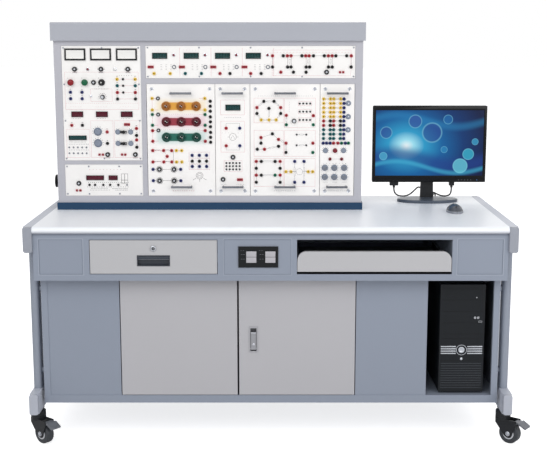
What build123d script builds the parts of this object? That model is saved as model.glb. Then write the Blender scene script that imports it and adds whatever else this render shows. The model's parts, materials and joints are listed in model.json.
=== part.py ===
from build123d import *
import math
import os

# Electrical engineering lab bench: a steel bench with an instrument console, a monitor and a computer.
# The origin is on the floor under the middle of the bench. +X is right, +Y is back, +Z is up.

# Driving dimensions of the bench
bench_width = 1710.0
bench_depth = 770.0
top_height = 797.0
top_thickness = 25.0
top_front_gap = 2.0
bullnose_radius = 12.0
sheet = 1.2
seat_gap = 0.2
panel_gap = 0.5

# Side frames
rail_width = 32.0
rail_height = 90.0
foot_rail_height = 74.0
tube_wall = 2.5
cap_length = 16.0
cap_corner = 8.0
cap_edge = 3.0
leg_width = 30.0
leg_depth = 60.0
leg_setback = 75.0
spacer_radius = 12.0
spacer_heights = (260.0, 560.0)

# Casters
caster_height = 121.0
wheel_radius = 37.5
wheel_width = 30.0
wheel_side_gap = 2.0
hub_radius = 12.0
hub_side_gap = 0.5
axle_radius = 4.0
trail = 30.0
mount_plate_length = 64.0
mount_plate_thickness = 5.0
swivel_radius = 27.0
swivel_height = 20.0
kingpin_radius = 6.0
kingpin_length = 15.0
crown_height = 12.0
cheek_thickness = 3.0
running_gap = 0.05
face_gap = 0.5
pedal_pin_radius = 2.5
pedal_barrel_radius = 5.0
pedal_pin_out = 53.0
pedal_pin_height = 81.0
pedal_outer_half = 21.0
pedal_wide_from = 17.0
pedal_shoe_turn = -102.8
pedal_shoe_gap = 0.9062
pedal_shoe_thickness = 3.0
pedal_side_gap = 1.0
tread_radius = 5.0
fork_tail = 20.0
front_caster_turns = (-40.0, -38.0)
rear_caster_turns = (180.0, 25.0)

# Upper box under the worktop
apron_height = 165.0
apron_setback = 12.0
apron_sheet = 3.0
apron_back = 345.0
opening_low = 23.0
opening_high = 145.0
emboss = 2.0
recess = 1.5
left_inset = (-802.0, -652.0)
right_inset = (649.0, 804.0)
drawer_opening = (-628.0, -184.0)
tray_opening = (91.0, 629.0)
outlet_area = (-161.0, 70.0)

# Runners
runner_gap = 13.0
channel_depth = 11.0
channel_height = 34.0
channel_wall = 2.0
channel_length = 460.0
runner_play = 0.3

# Drawer
drawer_length = 450.0
drawer_front_thickness = 16.0
front_gap = 2.0
drawer_wall = 1.2
drawer_height = 99.0
drawer_lift = 4.0
pull_width = 114.0
pull_height = 38.0
pull_depth = 13.0
pull_rim = 1.5
pull_drop = 13.0
lock_radius = 10.0
lock_rise = 30.0
lock_height = 3.0

# Keyboard tray
tray_length = 380.0
tray_board_thickness = 12.0
tray_front_height = 71.0
tray_front_thickness = 15.0
tray_front_rise = 9.0
tray_corner_radius = 31.0

# Outlet plate
outlet_width = 138.0
outlet_height = 74.0
outlet_rise = 25.0
outlet_shift = 2.5
outlet_thickness = 4.0
window_width = 36.0
window_height = 41.0
window_centres = (45.0, 111.0)

# Lower cabinet
cabinet_width = 1624.0
cabinet_setback = 67.0
cabinet_back = 330.0
floor_height = 174.0
floor_rail_height = 27.0
floor_rail_depth = 30.0
stile_width = 22.0
stile_depth = 18.0
door_thickness = 18.0
door_gap = 3.0
door_middle_gap = 6.0
door_floor_gap = 2.0
door_head_gap = 4.0
door_round = 1.5
left_door_edge = -533.0
door_meeting = -116.0
right_door_edge = 300.0
bay_edge = 556.0
infill_recess = 2.0
hinge_inset = 5.0
hinge_pin_radius = 3.0
hinge_block = 14.0
cable_hole_width = 90.0
cable_hole_height = 60.0
cable_hole_x = 684.0
cable_hole_z = 470.0

# Door handle
handle_width = 31.0
handle_height = 93.0
handle_x = -61.5
handle_z = 380.5
handle_rim = 2.5
handle_depth = 14.0
handle_wall = 1.5
handle_margin = 3.0
lever_width = 18.0
lever_length = 66.0
lever_thickness = 6.0
lever_pin_radius = 2.0
lever_pin_rise = 5.0
lever_pin_depth = 4.0
lever_round = 1.5
lever_foot_gap = 3.5

# Instrument console
console_left = -805.0
console_width = 1147.0
console_front = 17.0
console_depth = 300.0
plinth_height = 27.0
plinth_side = 4.0
plinth_front = 6.0
frame_depth = 18.0
hood_height = 67.0
hood_side = 8.0
hood_front = 14.0
hood_round = 6.0
hood_flange = 30.0
side_margin = 28.0
bottom_margin = 25.0
top_margin = 18.0
mullion = 18.0
left_column_width = 294.0
timer_height = 120.0
left_mullion_height = 14.0
meter_height = 120.0
module_height = 421.0
right_mullion_height = 20.0
panel_thickness = 3.0
panel_recess = 2.0
module_widths = (254.0, 129.0, 260.0, 128.0)
module_depth = 70.0
module_wall = 1.5
shelf_depth = 120.0

# Panel fittings
jack_radius = 5.0
jack_height = 5.0
jack_bore = 2.0
fuse_radius = 9.0
fuse_height = 6.0
lamp_radius = 18.0
lamp_height = 14.0
display_height = 3.0
button_radius = 12.0
button_height = 12.0
button_lift = 4.0
stem_radius = 5.0
stem_length = 18.0
key_radius = 12.5
key_height = 16.0
key_grip_width = 7.0
pointer_length = 24.0
pointer_width = 9.0
pointer_height = 11.0
pointer_hub = 6.3
handle_bar_radius = 4.0
handle_stand = 24.0
dial_radius = 10.0
dial_height = 2.0
scale_radius = 14.0
small_lamp_radius = 6.5
small_lamp_height = 6.0
small_knob_radius = 9.0
small_knob_height = 12.0
wide_knob_radius = 12.0
wide_knob_height = 14.0
timer_button_radius = 4.5
toggle_radius = 4.0
trimmer_radius = 3.5
trimmer_height = 3.0
ring_radius = 7.5
low_height = 4.0
fuse_square = 8.0
rocker_length = 22.0
rocker_width = 10.0
screw_radius = 3.5
screw_height = 2.0
screw_inset = 19.0
handle_length = 80.0
handle_inset = 35.0

# Knob on the console's side
side_knob_radius = 25.0
side_knob_waist = 12.0
side_knob_length = 27.0
side_knob_flange = 6.0
side_knob_rise = 96.0
side_knob_y = 120.0
side_knob_gap = 0.5

# Monitor
monitor_x = 622.5
monitor_front = 205.0
monitor_width = 447.0
monitor_height = 301.0
monitor_rise = 80.0
monitor_edge = 20.0
monitor_bulge = 13.0
monitor_bulge_width = 260.0
monitor_bulge_height = 190.0
monitor_bezel = 12.0
monitor_chin = 26.0
monitor_brow = 18.0
monitor_round = 6.0
screen_inset = 2.0
stand_width = 240.0
stand_depth = 130.0
stand_thickness = 12.0
stand_y = 230.0
neck_top_width = 40.0
neck_foot_width = 52.0
neck_thickness = 20.0
neck_y = 256.0
tilt_rise = 203.0
tilt_barrel_radius = 9.0
tilt_pin_radius = 4.0
tilt_ear_width = 14.0

# Cables of the monitor
cable_radius = 3.0
run_share = 0.45
video_plug_x = 487.0
power_plug_x = 715.0
plug_y = 215.0
plug_length = 22.0
video_plug_width = 34.0
video_plug_depth = 13.0
power_plug_width = 20.0
power_plug_depth = 14.0
plug_nose_radius = 5.0
plug_nose_length = 8.0

# Computer and mouse
case_width = 160.0
case_height = 402.0
case_depth = 430.0
case_left = 604.0
case_front = -297.0
bezel_depth = 30.0
case_foot = 6.0
case_foot_radius = 12.0
case_foot_inset = 20.0
bezel_wall = 3.0
button_proud = 1.0
power_button_depth = 12.0
power_button_radius = 20.0
power_button_z = 336.0
mouse_x = 688.0
mouse_y = -42.0
mouse_width = 62.0
mouse_length = 112.0
mouse_height = 36.0
mouse_crown = 16.0

# Values worked out from the sizes above
half_width = bench_width / 2
half_depth = bench_depth / 2
inner_x = half_width - rail_width
rail_x = half_width - rail_width / 2
top_under = top_height - top_thickness
apron_front_y = -half_depth + apron_setback
apron_low = top_under - apron_height
cabinet_x = cabinet_width / 2
cabinet_front_y = -half_depth + cabinet_setback
side_knob_z = top_height + side_knob_rise
monitor_bottom = top_height + monitor_rise
tilt_height = top_height + tilt_rise
row_heights = module_height + right_mullion_height + meter_height
frame_height = bottom_margin + row_heights + top_margin
foot_top = caster_height + foot_rail_height
rail_low = top_height - rail_height
leg_y = half_depth - leg_setback - leg_depth / 2
base = (Align.CENTER, Align.CENTER, Align.MIN)
low_corner = (Align.MIN, Align.MIN, Align.MIN)

os.makedirs("parts", exist_ok=True)


def block(low, high, mode=Mode.ADD):
    """Add a box between two opposite corners to the part in hand."""
    with Locations(low):
        Box(high[0] - low[0], high[1] - low[1], high[2] - low[2], align=low_corner, mode=mode)


def face_plane(x, y, z):
    """A plane that faces the front of the bench, with its own X to the right and its own Y up."""
    return Plane(origin=(x, y, z), x_dir=(1, 0, 0), z_dir=(0, -1, 0))


def studs(points, radius, height, bore=0.0):
    """Round studs at the given places of a front plane, each with a hole where one is asked for."""
    with Locations(*points):
        Cylinder(radius, height, align=base)
    if bore > 0:
        with Locations(*points):
            Cylinder(bore, height, align=base, mode=Mode.SUBTRACT)


def plates(places, width, height, thickness):
    """Flat rectangles at the given places of a front plane."""
    with Locations(*places):
        Box(width, height, thickness, align=base)


# Worktop
with BuildPart() as worktop:
    block(
        (-inner_x, -half_depth + top_front_gap, top_under),
        (inner_x, half_depth - top_front_gap, top_height),
    )
    fillet(worktop.edges().filter_by(Axis.X).group_by(Axis.Y)[0], bullnose_radius)
worktop.part.label = "worktop"
export_step(worktop.part, "parts/worktop.step")

# Side frames: a top rail, a foot rail and two oval legs on each side
rail_end = half_depth - cap_length
leg_bottom = foot_top + seat_gap
leg_top = rail_low - seat_gap
cabinet_gap = rail_x - leg_width / 2 - cabinet_x
with BuildPart() as side_frames:
    for side in (-1, 1):
        low_x = side * rail_x - rail_width / 2
        high_x = low_x + rail_width
        for low_z, height in ((rail_low, rail_height), (caster_height, foot_rail_height)):
            block((low_x, -rail_end, low_z), (high_x, rail_end, low_z + height))
            block(
                (low_x + tube_wall, -rail_end, low_z + tube_wall),
                (high_x - tube_wall, rail_end, low_z + height - tube_wall),
                Mode.SUBTRACT,
            )
    with BuildSketch(Plane.XY.offset(leg_bottom)):
        with GridLocations(2 * rail_x, 2 * leg_y, 2, 2):
            SlotOverall(leg_depth, leg_width, rotation=90)
            SlotOverall(
                leg_depth - 2 * tube_wall,
                leg_width - 2 * tube_wall,
                rotation=90,
                mode=Mode.SUBTRACT,
            )
    extrude(amount=leg_top - leg_bottom)
    for side in (-1, 1):
        for end in (-1, 1):
            for height in spacer_heights:
                with Locations((side * (cabinet_x + cabinet_gap / 2), end * leg_y, height)):
                    Cylinder(spacer_radius, cabinet_gap, rotation=(0, 90, 0))
side_frames.part.label = "side_frames"
export_step(side_frames.part, "parts/side_frames.step")

# Plastic caps that close the ends of the rails
with BuildPart() as rail_end_caps:
    for side in (-1, 1):
        low_x = side * rail_x - rail_width / 2
        for low_z, height in ((rail_low, rail_height), (caster_height, foot_rail_height)):
            for low_y in (-half_depth, rail_end):
                block((low_x, low_y, low_z), (low_x + rail_width, low_y + cap_length, low_z + height))
    fillet(rail_end_caps.edges().filter_by(Axis.Y), cap_corner)
    fillet(rail_end_caps.faces().filter_by(Axis.Y).group_by(Axis.Y)[0].edges(), cap_edge)
    fillet(rail_end_caps.faces().filter_by(Axis.Y).group_by(Axis.Y)[-1].edges(), cap_edge)
rail_end_caps.part.label = "rail_end_caps"
export_step(rail_end_caps.part, "parts/rail_end_caps.step")

# Casters: a fixed swivel housing, a fork with its kingpin and axle, a wheel, and a brake pedal in front
swivel_y = half_depth - leg_setback
housing_low = caster_height - mount_plate_thickness - swivel_height
crown_top = housing_low - face_gap
crown_low = crown_top - crown_height
cheek_inner = wheel_width / 2 + wheel_side_gap
cheek_outer = cheek_inner + cheek_thickness
casters = [
    ("front_left", -rail_x, -swivel_y, front_caster_turns[0]),
    ("front_right", rail_x, -swivel_y, front_caster_turns[1]),
    ("rear_left", -rail_x, swivel_y, rear_caster_turns[0]),
    ("rear_right", rail_x, swivel_y, rear_caster_turns[1]),
]
with BuildPart() as caster_mounts:
    for name, x, y, turn in casters:
        with Locations((x, y, caster_height - mount_plate_thickness)):
            Box(rail_width, mount_plate_length, mount_plate_thickness, align=base)
        with Locations((x, y, housing_low)):
            Cylinder(swivel_radius, swivel_height, align=base)
            Cylinder(
                kingpin_radius + running_gap,
                kingpin_length + face_gap,
                align=base,
                mode=Mode.SUBTRACT,
            )
caster_mounts.part.label = "caster_mounts"
export_step(caster_mounts.part, "parts/caster_mounts.step")

cheek_top = crown_low + crown_height / 2
cheek_outline = [
    (-fork_tail, cheek_top),
    (pedal_pin_out + 7.0, cheek_top),
    (pedal_pin_out + 8.0, pedal_pin_height - 7.0),
    (trail + hub_radius + 1.0, wheel_radius - hub_radius + 3.0),
    (trail - hub_radius - 1.0, wheel_radius - hub_radius + 3.0),
    (-fork_tail, wheel_radius + 36.0),
]
pedal_arm = [(0.0, 4.9), (20.0, 4.9), (44.0, -9.0), (44.0, -15.0), (18.0, -1.5), (0.0, -1.5)]
pedal_inner_half = cheek_inner - pedal_side_gap
pedal_to_axle = math.hypot(pedal_pin_out - trail, pedal_pin_height - wheel_radius)
pedal_shoe_reach = pedal_to_axle - wheel_radius - pedal_shoe_gap
for name, x, y, turn in casters:
    angle = math.radians(turn)
    ahead = (math.cos(angle), math.sin(angle), 0)
    ground = Plane(origin=(x, y, 0), x_dir=ahead, z_dir=(0, 0, 1))
    side_view = Plane(origin=(x, y, 0), x_dir=ahead, z_dir=(math.sin(angle), -math.cos(angle), 0))

    with BuildPart(ground) as fork:
        with BuildSketch(side_view):
            with BuildLine():
                Polyline(*cheek_outline, close=True)
            make_face()
        extrude(amount=cheek_outer, both=True)
        with Locations((trail, 0, 0)):
            Box(4 * wheel_radius, 2 * cheek_inner, crown_low, align=base, mode=Mode.SUBTRACT)
        with Locations((swivel_radius / 2, 0, crown_low)):
            Box(
                2 * pedal_pin_out,
                2 * cheek_inner,
                crown_height,
                align=(Align.MIN, Align.CENTER, Align.MIN),
                mode=Mode.SUBTRACT,
            )
        with Locations((0, 0, crown_low)):
            Cylinder(swivel_radius, crown_height, align=base)
        with Locations((0, 0, crown_top)):
            Cylinder(kingpin_radius, kingpin_length, align=base)
        with Locations((trail, 0, wheel_radius)):
            Cylinder(axle_radius, 2 * cheek_outer, rotation=(90, 0, 0))
        if name.startswith("front"):
            with Locations((pedal_pin_out, 0, pedal_pin_height)):
                Cylinder(pedal_pin_radius, 2 * cheek_outer, rotation=(90, 0, 0))
    fork.part.label = f"{name}_fork"
    export_step(fork.part, f"parts/{name}_fork.step")

    with BuildPart(ground) as wheel:
        with Locations((trail, 0, wheel_radius)):
            Cylinder(wheel_radius, wheel_width, rotation=(90, 0, 0))
            fillet(wheel.edges().filter_by(GeomType.CIRCLE), tread_radius)
            Cylinder(hub_radius, 2 * (cheek_inner - hub_side_gap), rotation=(90, 0, 0))
            Cylinder(axle_radius + running_gap, 3 * wheel_width, rotation=(90, 0, 0), mode=Mode.SUBTRACT)
    wheel.part.label = f"{name}_wheel"
    export_step(wheel.part, f"parts/{name}_wheel.step")

    if name.startswith("front"):
        pin_view = Plane(
            origin=ground.from_local_coords((pedal_pin_out, 0, pedal_pin_height)),
            x_dir=ahead,
            z_dir=side_view.z_dir,
        )
        with BuildPart(pin_view) as pedal:
            Cylinder(pedal_barrel_radius, 2 * pedal_inner_half)
            with BuildSketch(pin_view):
                with BuildLine():
                    Polyline(*pedal_arm, close=True)
                make_face()
            extrude(amount=pedal_outer_half, both=True)
            for side in (-1, 1):
                with Locations((0, 0, side * pedal_outer_half)):
                    Box(
                        2 * pedal_wide_from,
                        4 * pedal_barrel_radius,
                        2 * (pedal_outer_half - pedal_inner_half),
                        mode=Mode.SUBTRACT,
                    )
            with Locations(Location((0, 0, 0), (0, 0, pedal_shoe_turn))):
                Box(
                    pedal_shoe_reach,
                    pedal_shoe_thickness,
                    0.8 * wheel_width,
                    align=(Align.MIN, Align.CENTER, Align.CENTER),
                )
            Cylinder(pedal_pin_radius + running_gap, 4 * pedal_outer_half, mode=Mode.SUBTRACT)
        pedal.part.label = f"{name}_brake_pedal"
        export_step(pedal.part, f"parts/{name}_brake_pedal.step")

# Front sheet of the upper box, with the openings for the drawer and the keyboard tray
open_z = (apron_low + opening_low, apron_low + opening_high)
apron_rear_y = apron_front_y + apron_sheet
with BuildPart() as apron_front:
    block((-inner_x, apron_front_y, apron_low), (inner_x, apron_rear_y, top_under))
    for span in (drawer_opening, tray_opening):
        block((span[0], apron_front_y, open_z[0]), (span[1], apron_rear_y, open_z[1]), Mode.SUBTRACT)
    for span in (left_inset, right_inset):
        block(
            (span[0], apron_front_y, open_z[0]),
            (span[1], apron_front_y + recess, open_z[1]),
            Mode.SUBTRACT,
        )
    block(
        (outlet_area[0], apron_front_y - emboss, open_z[0]),
        (outlet_area[1], apron_front_y, open_z[1]),
    )
apron_front.part.label = "apron_front"
export_step(apron_front.part, "parts/apron_front.step")

# Outlet plate with two label windows
outlet_x = (outlet_area[0] + outlet_area[1]) / 2 - outlet_width / 2 + outlet_shift
outlet_z = open_z[0] + outlet_rise
outlet_face = apron_front_y - emboss - outlet_thickness
with BuildPart() as outlet_plate:
    block(
        (outlet_x, outlet_face, outlet_z),
        (outlet_x + outlet_width, outlet_face + outlet_thickness, outlet_z + outlet_height),
    )
    for centre in window_centres:
        low_x = outlet_x + centre - window_width / 2
        low_z = outlet_z + (outlet_height - window_height) / 2
        high_x = low_x + window_width
        high_z = low_z + window_height
        block((low_x, outlet_face, low_z), (high_x, outlet_face + recess, high_z), Mode.SUBTRACT)
        block(
            (low_x + seat_gap, outlet_face, low_z + seat_gap),
            (high_x - seat_gap, outlet_face + recess - seat_gap, high_z - seat_gap),
        )
outlet_plate.part.label = "outlet_plate"
export_step(outlet_plate.part, "parts/outlet_plate.step")

# Floor of the upper box and floor of the cabinet
box_floor_top = apron_low + sheet
with BuildPart() as floor_plates:
    block((-inner_x, apron_rear_y, apron_low), (inner_x, apron_back, box_floor_top))
    block(
        (-cabinet_x, cabinet_front_y, floor_height - sheet),
        (cabinet_x, cabinet_back, floor_height),
    )
floor_plates.part.label = "floor_plates"
export_step(floor_plates.part, "parts/floor_plates.step")

# Back sheets: one behind the upper box, one behind the cabinet with its cable cut-out
with BuildPart() as back_panels:
    block((-inner_x, apron_back - sheet, box_floor_top), (inner_x, apron_back, top_under))
    block(
        (-cabinet_x + sheet, cabinet_back - sheet, floor_height),
        (cabinet_x - sheet, cabinet_back, apron_low),
    )
    with Locations((cable_hole_x, cabinet_back - sheet / 2, cable_hole_z)):
        Box(cable_hole_width, 3 * sheet, cable_hole_height, mode=Mode.SUBTRACT)
back_panels.part.label = "back_panels"
export_step(back_panels.part, "parts/back_panels.step")

# Upright walls inside the upper box: two ends, and one on each side of the drawer and of the tray
wall_places = [
    -inner_x,
    drawer_opening[0] - sheet,
    drawer_opening[1],
    tray_opening[0] - sheet,
    tray_opening[1],
    inner_x - sheet,
]
with BuildPart() as compartment_walls:
    for low_x in wall_places:
        block((low_x, apron_rear_y, box_floor_top), (low_x + sheet, apron_back - sheet, top_under))
compartment_walls.part.label = "compartment_walls"
export_step(compartment_walls.part, "parts/compartment_walls.step")

# Fixed halves of the slide runners
drawer_low = open_z[0] + front_gap + drawer_lift
drawer_runner_z = drawer_low + drawer_height / 2
tray_low = open_z[0] + tray_front_rise
tray_runner_z = tray_low + channel_height / 2 - channel_wall
channel_start = apron_front_y + max(drawer_front_thickness, tray_front_thickness) + front_gap
runners = [
    (drawer_opening, drawer_runner_z),
    (tray_opening, tray_runner_z),
]
with BuildPart() as slide_channels:
    for span, middle in runners:
        for wall_x, towards in ((span[0], 1), (span[1], -1)):
            low_x = min(wall_x, wall_x + towards * channel_depth)
            block(
                (low_x, channel_start, middle - channel_height / 2),
                (low_x + channel_depth, channel_start + channel_length, middle + channel_height / 2),
            )
            groove_x = min(wall_x + towards * channel_wall, wall_x + towards * channel_depth)
            block(
                (groove_x, channel_start, middle - channel_height / 2 + channel_wall),
                (
                    groove_x + channel_depth - channel_wall,
                    channel_start + channel_length,
                    middle + channel_height / 2 - channel_wall,
                ),
                Mode.SUBTRACT,
            )
slide_channels.part.label = "slide_channels"
export_step(slide_channels.part, "parts/slide_channels.step")

bar_height = channel_height - 2 * channel_wall - 2 * runner_play


def runner_bars(span, middle, start, length):
    """The moving bars of a pair of runners, one in each channel."""
    for wall_x, towards in ((span[0], 1), (span[1], -1)):
        near = wall_x + towards * (channel_wall + face_gap)
        far = wall_x + towards * (runner_gap - seat_gap)
        block(
            (min(near, far), start, middle - bar_height / 2),
            (max(near, far), start + length, middle + bar_height / 2),
        )


# Drawer: an open box with its runner bars, and a front with its pull and lock
drawer_front_y = apron_front_y
drawer_box_y = drawer_front_y + drawer_front_thickness
drawer_box_back = drawer_box_y + drawer_length
drawer_x = (drawer_opening[0] + runner_gap, drawer_opening[1] - runner_gap)
with BuildPart() as drawer_box:
    block(
        (drawer_x[0], drawer_box_y, drawer_low),
        (drawer_x[1], drawer_box_back, drawer_low + drawer_height),
    )
    block(
        (drawer_x[0] + drawer_wall, drawer_box_y + drawer_wall, drawer_low + drawer_wall),
        (drawer_x[1] - drawer_wall, drawer_box_back - drawer_wall, drawer_low + drawer_height),
        Mode.SUBTRACT,
    )
    runner_bars(drawer_opening, drawer_runner_z, drawer_box_y, drawer_length)
drawer_box.part.label = "drawer_box"
export_step(drawer_box.part, "parts/drawer_box.step")

drawer_middle = (drawer_opening[0] + drawer_opening[1]) / 2
drawer_face_low = open_z[0] + front_gap
drawer_face_high = open_z[1] - front_gap
pull_z = (drawer_face_low + drawer_face_high) / 2 - pull_drop
lock_z = (drawer_face_low + drawer_face_high) / 2 + lock_rise
lock_barrel = 0.8 * lock_radius
pull_half = pull_width / 2 - pull_rim
pull_half_height = pull_height / 2 - pull_rim
with BuildPart() as drawer_front:
    block(
        (drawer_opening[0] + front_gap, drawer_front_y, drawer_face_low),
        (drawer_opening[1] - front_gap, drawer_box_y, drawer_face_high),
    )
    block(
        (drawer_opening[0] + front_gap + sheet, drawer_front_y + sheet, drawer_face_low + sheet),
        (drawer_opening[1] - front_gap - sheet, drawer_box_y, drawer_face_high - sheet),
        Mode.SUBTRACT,
    )
    with Locations((drawer_middle, drawer_front_y, pull_z)):
        Box(
            2 * (pull_half + seat_gap),
            3 * sheet,
            2 * (pull_half_height + seat_gap),
            mode=Mode.SUBTRACT,
        )
    with Locations((drawer_middle, drawer_front_y, lock_z)):
        Cylinder(lock_barrel + seat_gap, 3 * sheet, rotation=(90, 0, 0), mode=Mode.SUBTRACT)
    rim_y = drawer_front_y - seat_gap
    block(
        (drawer_middle - pull_width / 2, rim_y - pull_rim, pull_z - pull_height / 2),
        (drawer_middle + pull_width / 2, rim_y, pull_z + pull_height / 2),
    )
    block(
        (drawer_middle - pull_half, rim_y, pull_z - pull_half_height),
        (drawer_middle + pull_half, rim_y + pull_depth, pull_z + pull_half_height),
    )
    block(
        (drawer_middle - pull_half + pull_rim, rim_y - pull_rim, pull_z - pull_half_height + pull_rim),
        (
            drawer_middle + pull_half - pull_rim,
            rim_y + pull_depth - pull_rim,
            pull_z + pull_half_height - pull_rim,
        ),
        Mode.SUBTRACT,
    )
    with Locations((drawer_middle, rim_y, lock_z)):
        Cylinder(lock_radius, lock_height, rotation=(90, 0, 0), align=base)
        Cylinder(lock_barrel, pull_depth, rotation=(-90, 0, 0), align=base)
drawer_front.part.label = "drawer_front"
export_step(drawer_front.part, "parts/drawer_front.step")

# Keyboard tray: a board with its runner bars, and a front with round upper corners
tray_board_y = apron_front_y + tray_front_thickness
tray_board_top = tray_low + sheet + tray_board_thickness
with BuildPart() as keyboard_tray:
    block(
        (tray_opening[0] + runner_gap, tray_board_y, tray_low + sheet),
        (tray_opening[1] - runner_gap, tray_board_y + tray_length, tray_board_top),
    )
    runner_bars(tray_opening, tray_runner_z, tray_board_y, tray_length)
keyboard_tray.part.label = "keyboard_tray"
export_step(keyboard_tray.part, "parts/keyboard_tray.step")

with BuildPart() as keyboard_tray_front:
    block(
        (tray_opening[0] + front_gap, apron_front_y, tray_low),
        (tray_opening[1] - front_gap, tray_board_y, tray_low + tray_front_height),
    )
    fillet(keyboard_tray_front.edges().filter_by(Axis.Y).group_by(Axis.Z)[-1], tray_corner_radius)
keyboard_tray_front.part.label = "keyboard_tray_front"
export_step(keyboard_tray_front.part, "parts/keyboard_tray_front.step")

# Cabinet frame: two box sections under the floor and two stiles at the front corners
floor_under = floor_height - sheet
stile_back = cabinet_front_y + stile_depth


def hollow_block(low, high, along):
    """A rectangular tube between two corners, open at both ends along one axis."""
    block(low, high)
    inner_low = [low[i] if i == along else low[i] + sheet for i in range(3)]
    inner_high = [high[i] if i == along else high[i] - sheet for i in range(3)]
    block(tuple(inner_low), tuple(inner_high), Mode.SUBTRACT)


with BuildPart() as cabinet_frame:
    for low_y in (cabinet_front_y, cabinet_back - floor_rail_depth):
        hollow_block(
            (-cabinet_x, low_y, floor_under - floor_rail_height),
            (cabinet_x, low_y + floor_rail_depth, floor_under),
            0,
        )
    for low_x in (-cabinet_x, cabinet_x - stile_width):
        hollow_block(
            (low_x, cabinet_front_y, floor_height),
            (low_x + stile_width, stile_back, apron_low),
            2,
        )
cabinet_frame.part.label = "cabinet_frame"
export_step(cabinet_frame.part, "parts/cabinet_frame.step")

# Fixed front panels beside the doors, and the walls behind their edges
infill_y = cabinet_front_y + infill_recess
infill_spans = [
    (-cabinet_x + stile_width, left_door_edge - door_gap),
    (right_door_edge + door_gap, bay_edge),
]
with BuildPart() as infill_panels:
    for span in infill_spans:
        block((span[0], infill_y, floor_height), (span[1], infill_y + sheet, apron_low))
infill_panels.part.label = "infill_panels"
export_step(infill_panels.part, "parts/infill_panels.step")

with BuildPart() as cabinet_walls:
    for low_x in (-cabinet_x, cabinet_x - sheet):
        block((low_x, stile_back, floor_height), (low_x + sheet, cabinet_back, apron_low))
    for low_x in (infill_spans[0][1] - sheet, infill_spans[1][0], infill_spans[1][1] - sheet):
        block((low_x, infill_y + sheet, floor_height), (low_x + sheet, cabinet_back - sheet, apron_low))
cabinet_walls.part.label = "cabinet_walls"
export_step(cabinet_walls.part, "parts/cabinet_walls.step")

# Doors: folded pans with a block at each end of the hinge edge, on pins in the floor and the box above
door_low = floor_height + door_floor_gap
door_high = apron_low - door_head_gap
door_back = cabinet_front_y + door_thickness
hinge_y = cabinet_front_y + hinge_inset
pin_reach = hinge_block - 1.0
left_hinge_x = left_door_edge + hinge_inset
right_hinge_x = right_door_edge - hinge_inset
left_door_span = (left_door_edge, door_meeting - door_middle_gap / 2)
right_door_span = (door_meeting + door_middle_gap / 2, right_door_edge)


def door_pan(span, hinge_x):
    """A door with its front, its folded edges and its two hinge blocks."""
    block((span[0], cabinet_front_y, door_low), (span[1], door_back, door_high))
    block(
        (span[0] + sheet, cabinet_front_y + sheet, door_low + sheet),
        (span[1] - sheet, door_back, door_high - sheet),
        Mode.SUBTRACT,
    )
    for low_z in (door_low, door_high - hinge_block):
        with Locations((hinge_x, hinge_y, low_z)):
            Box(2 * hinge_inset, 2 * hinge_inset, hinge_block, align=base)
            Cylinder(hinge_pin_radius + running_gap, hinge_block, align=base, mode=Mode.SUBTRACT)


with BuildPart() as left_door:
    door_pan(left_door_span, left_hinge_x)
    fillet(left_door.edges().filter_by(Axis.Z).group_by(Axis.Y)[0], door_round)
left_door.part.label = "left_door"
export_step(left_door.part, "parts/left_door.step")

handle_half = handle_width / 2 - handle_margin
handle_half_height = handle_height / 2 - handle_margin
handle_rim_y = cabinet_front_y - seat_gap
lever_low = handle_z - handle_half_height + handle_wall + lever_foot_gap
lever_pin_z = lever_low + lever_pin_rise
lever_pin_y = handle_rim_y + lever_pin_depth
lever_front_y = lever_pin_y - lever_pin_rise
with BuildPart() as right_door:
    door_pan(right_door_span, right_hinge_x)
    fillet(right_door.edges().filter_by(Axis.Z).group_by(Axis.Y)[0], door_round)
    with Locations((handle_x, cabinet_front_y, handle_z)):
        Box(
            2 * (handle_half + seat_gap),
            3 * sheet,
            2 * (handle_half_height + seat_gap),
            mode=Mode.SUBTRACT,
        )
    with Locations((handle_x, handle_rim_y, handle_z)):
        Box(handle_width, handle_rim, handle_height, align=(Align.CENTER, Align.MAX, Align.CENTER))
        Box(
            2 * handle_half,
            handle_depth,
            2 * handle_half_height,
            align=(Align.CENTER, Align.MIN, Align.CENTER),
        )
        Box(
            2 * (handle_half - handle_wall),
            2 * (handle_depth - handle_wall),
            2 * (handle_half_height - handle_wall),
            mode=Mode.SUBTRACT,
        )
    with Locations((handle_x, lever_pin_y, lever_pin_z)):
        Cylinder(lever_pin_radius + running_gap, handle_width, rotation=(0, 90, 0), mode=Mode.SUBTRACT)
right_door.part.label = "right_door"
export_step(right_door.part, "parts/right_door.step")

with BuildPart() as handle_lever:
    block(
        (handle_x - lever_width / 2, lever_front_y, lever_low),
        (handle_x + lever_width / 2, lever_front_y + lever_thickness, lever_low + lever_length),
    )
    fillet(handle_lever.edges().filter_by(Axis.X), lever_round)
    with Locations((handle_x, lever_pin_y, lever_pin_z)):
        Cylinder(lever_pin_radius, 2 * (handle_half - face_gap), rotation=(0, 90, 0))
handle_lever.part.label = "handle_lever"
export_step(handle_lever.part, "parts/handle_lever.step")

with BuildPart() as door_hinge_pins:
    for hinge_x in (left_hinge_x, right_hinge_x):
        with Locations((hinge_x, hinge_y, floor_height)):
            Cylinder(hinge_pin_radius, door_floor_gap + pin_reach, align=base)
        with Locations((hinge_x, hinge_y, apron_low - door_head_gap - pin_reach)):
            Cylinder(hinge_pin_radius, door_head_gap + pin_reach, align=base)
door_hinge_pins.part.label = "door_hinge_pins"
export_step(door_hinge_pins.part, "parts/door_hinge_pins.step")

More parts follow.
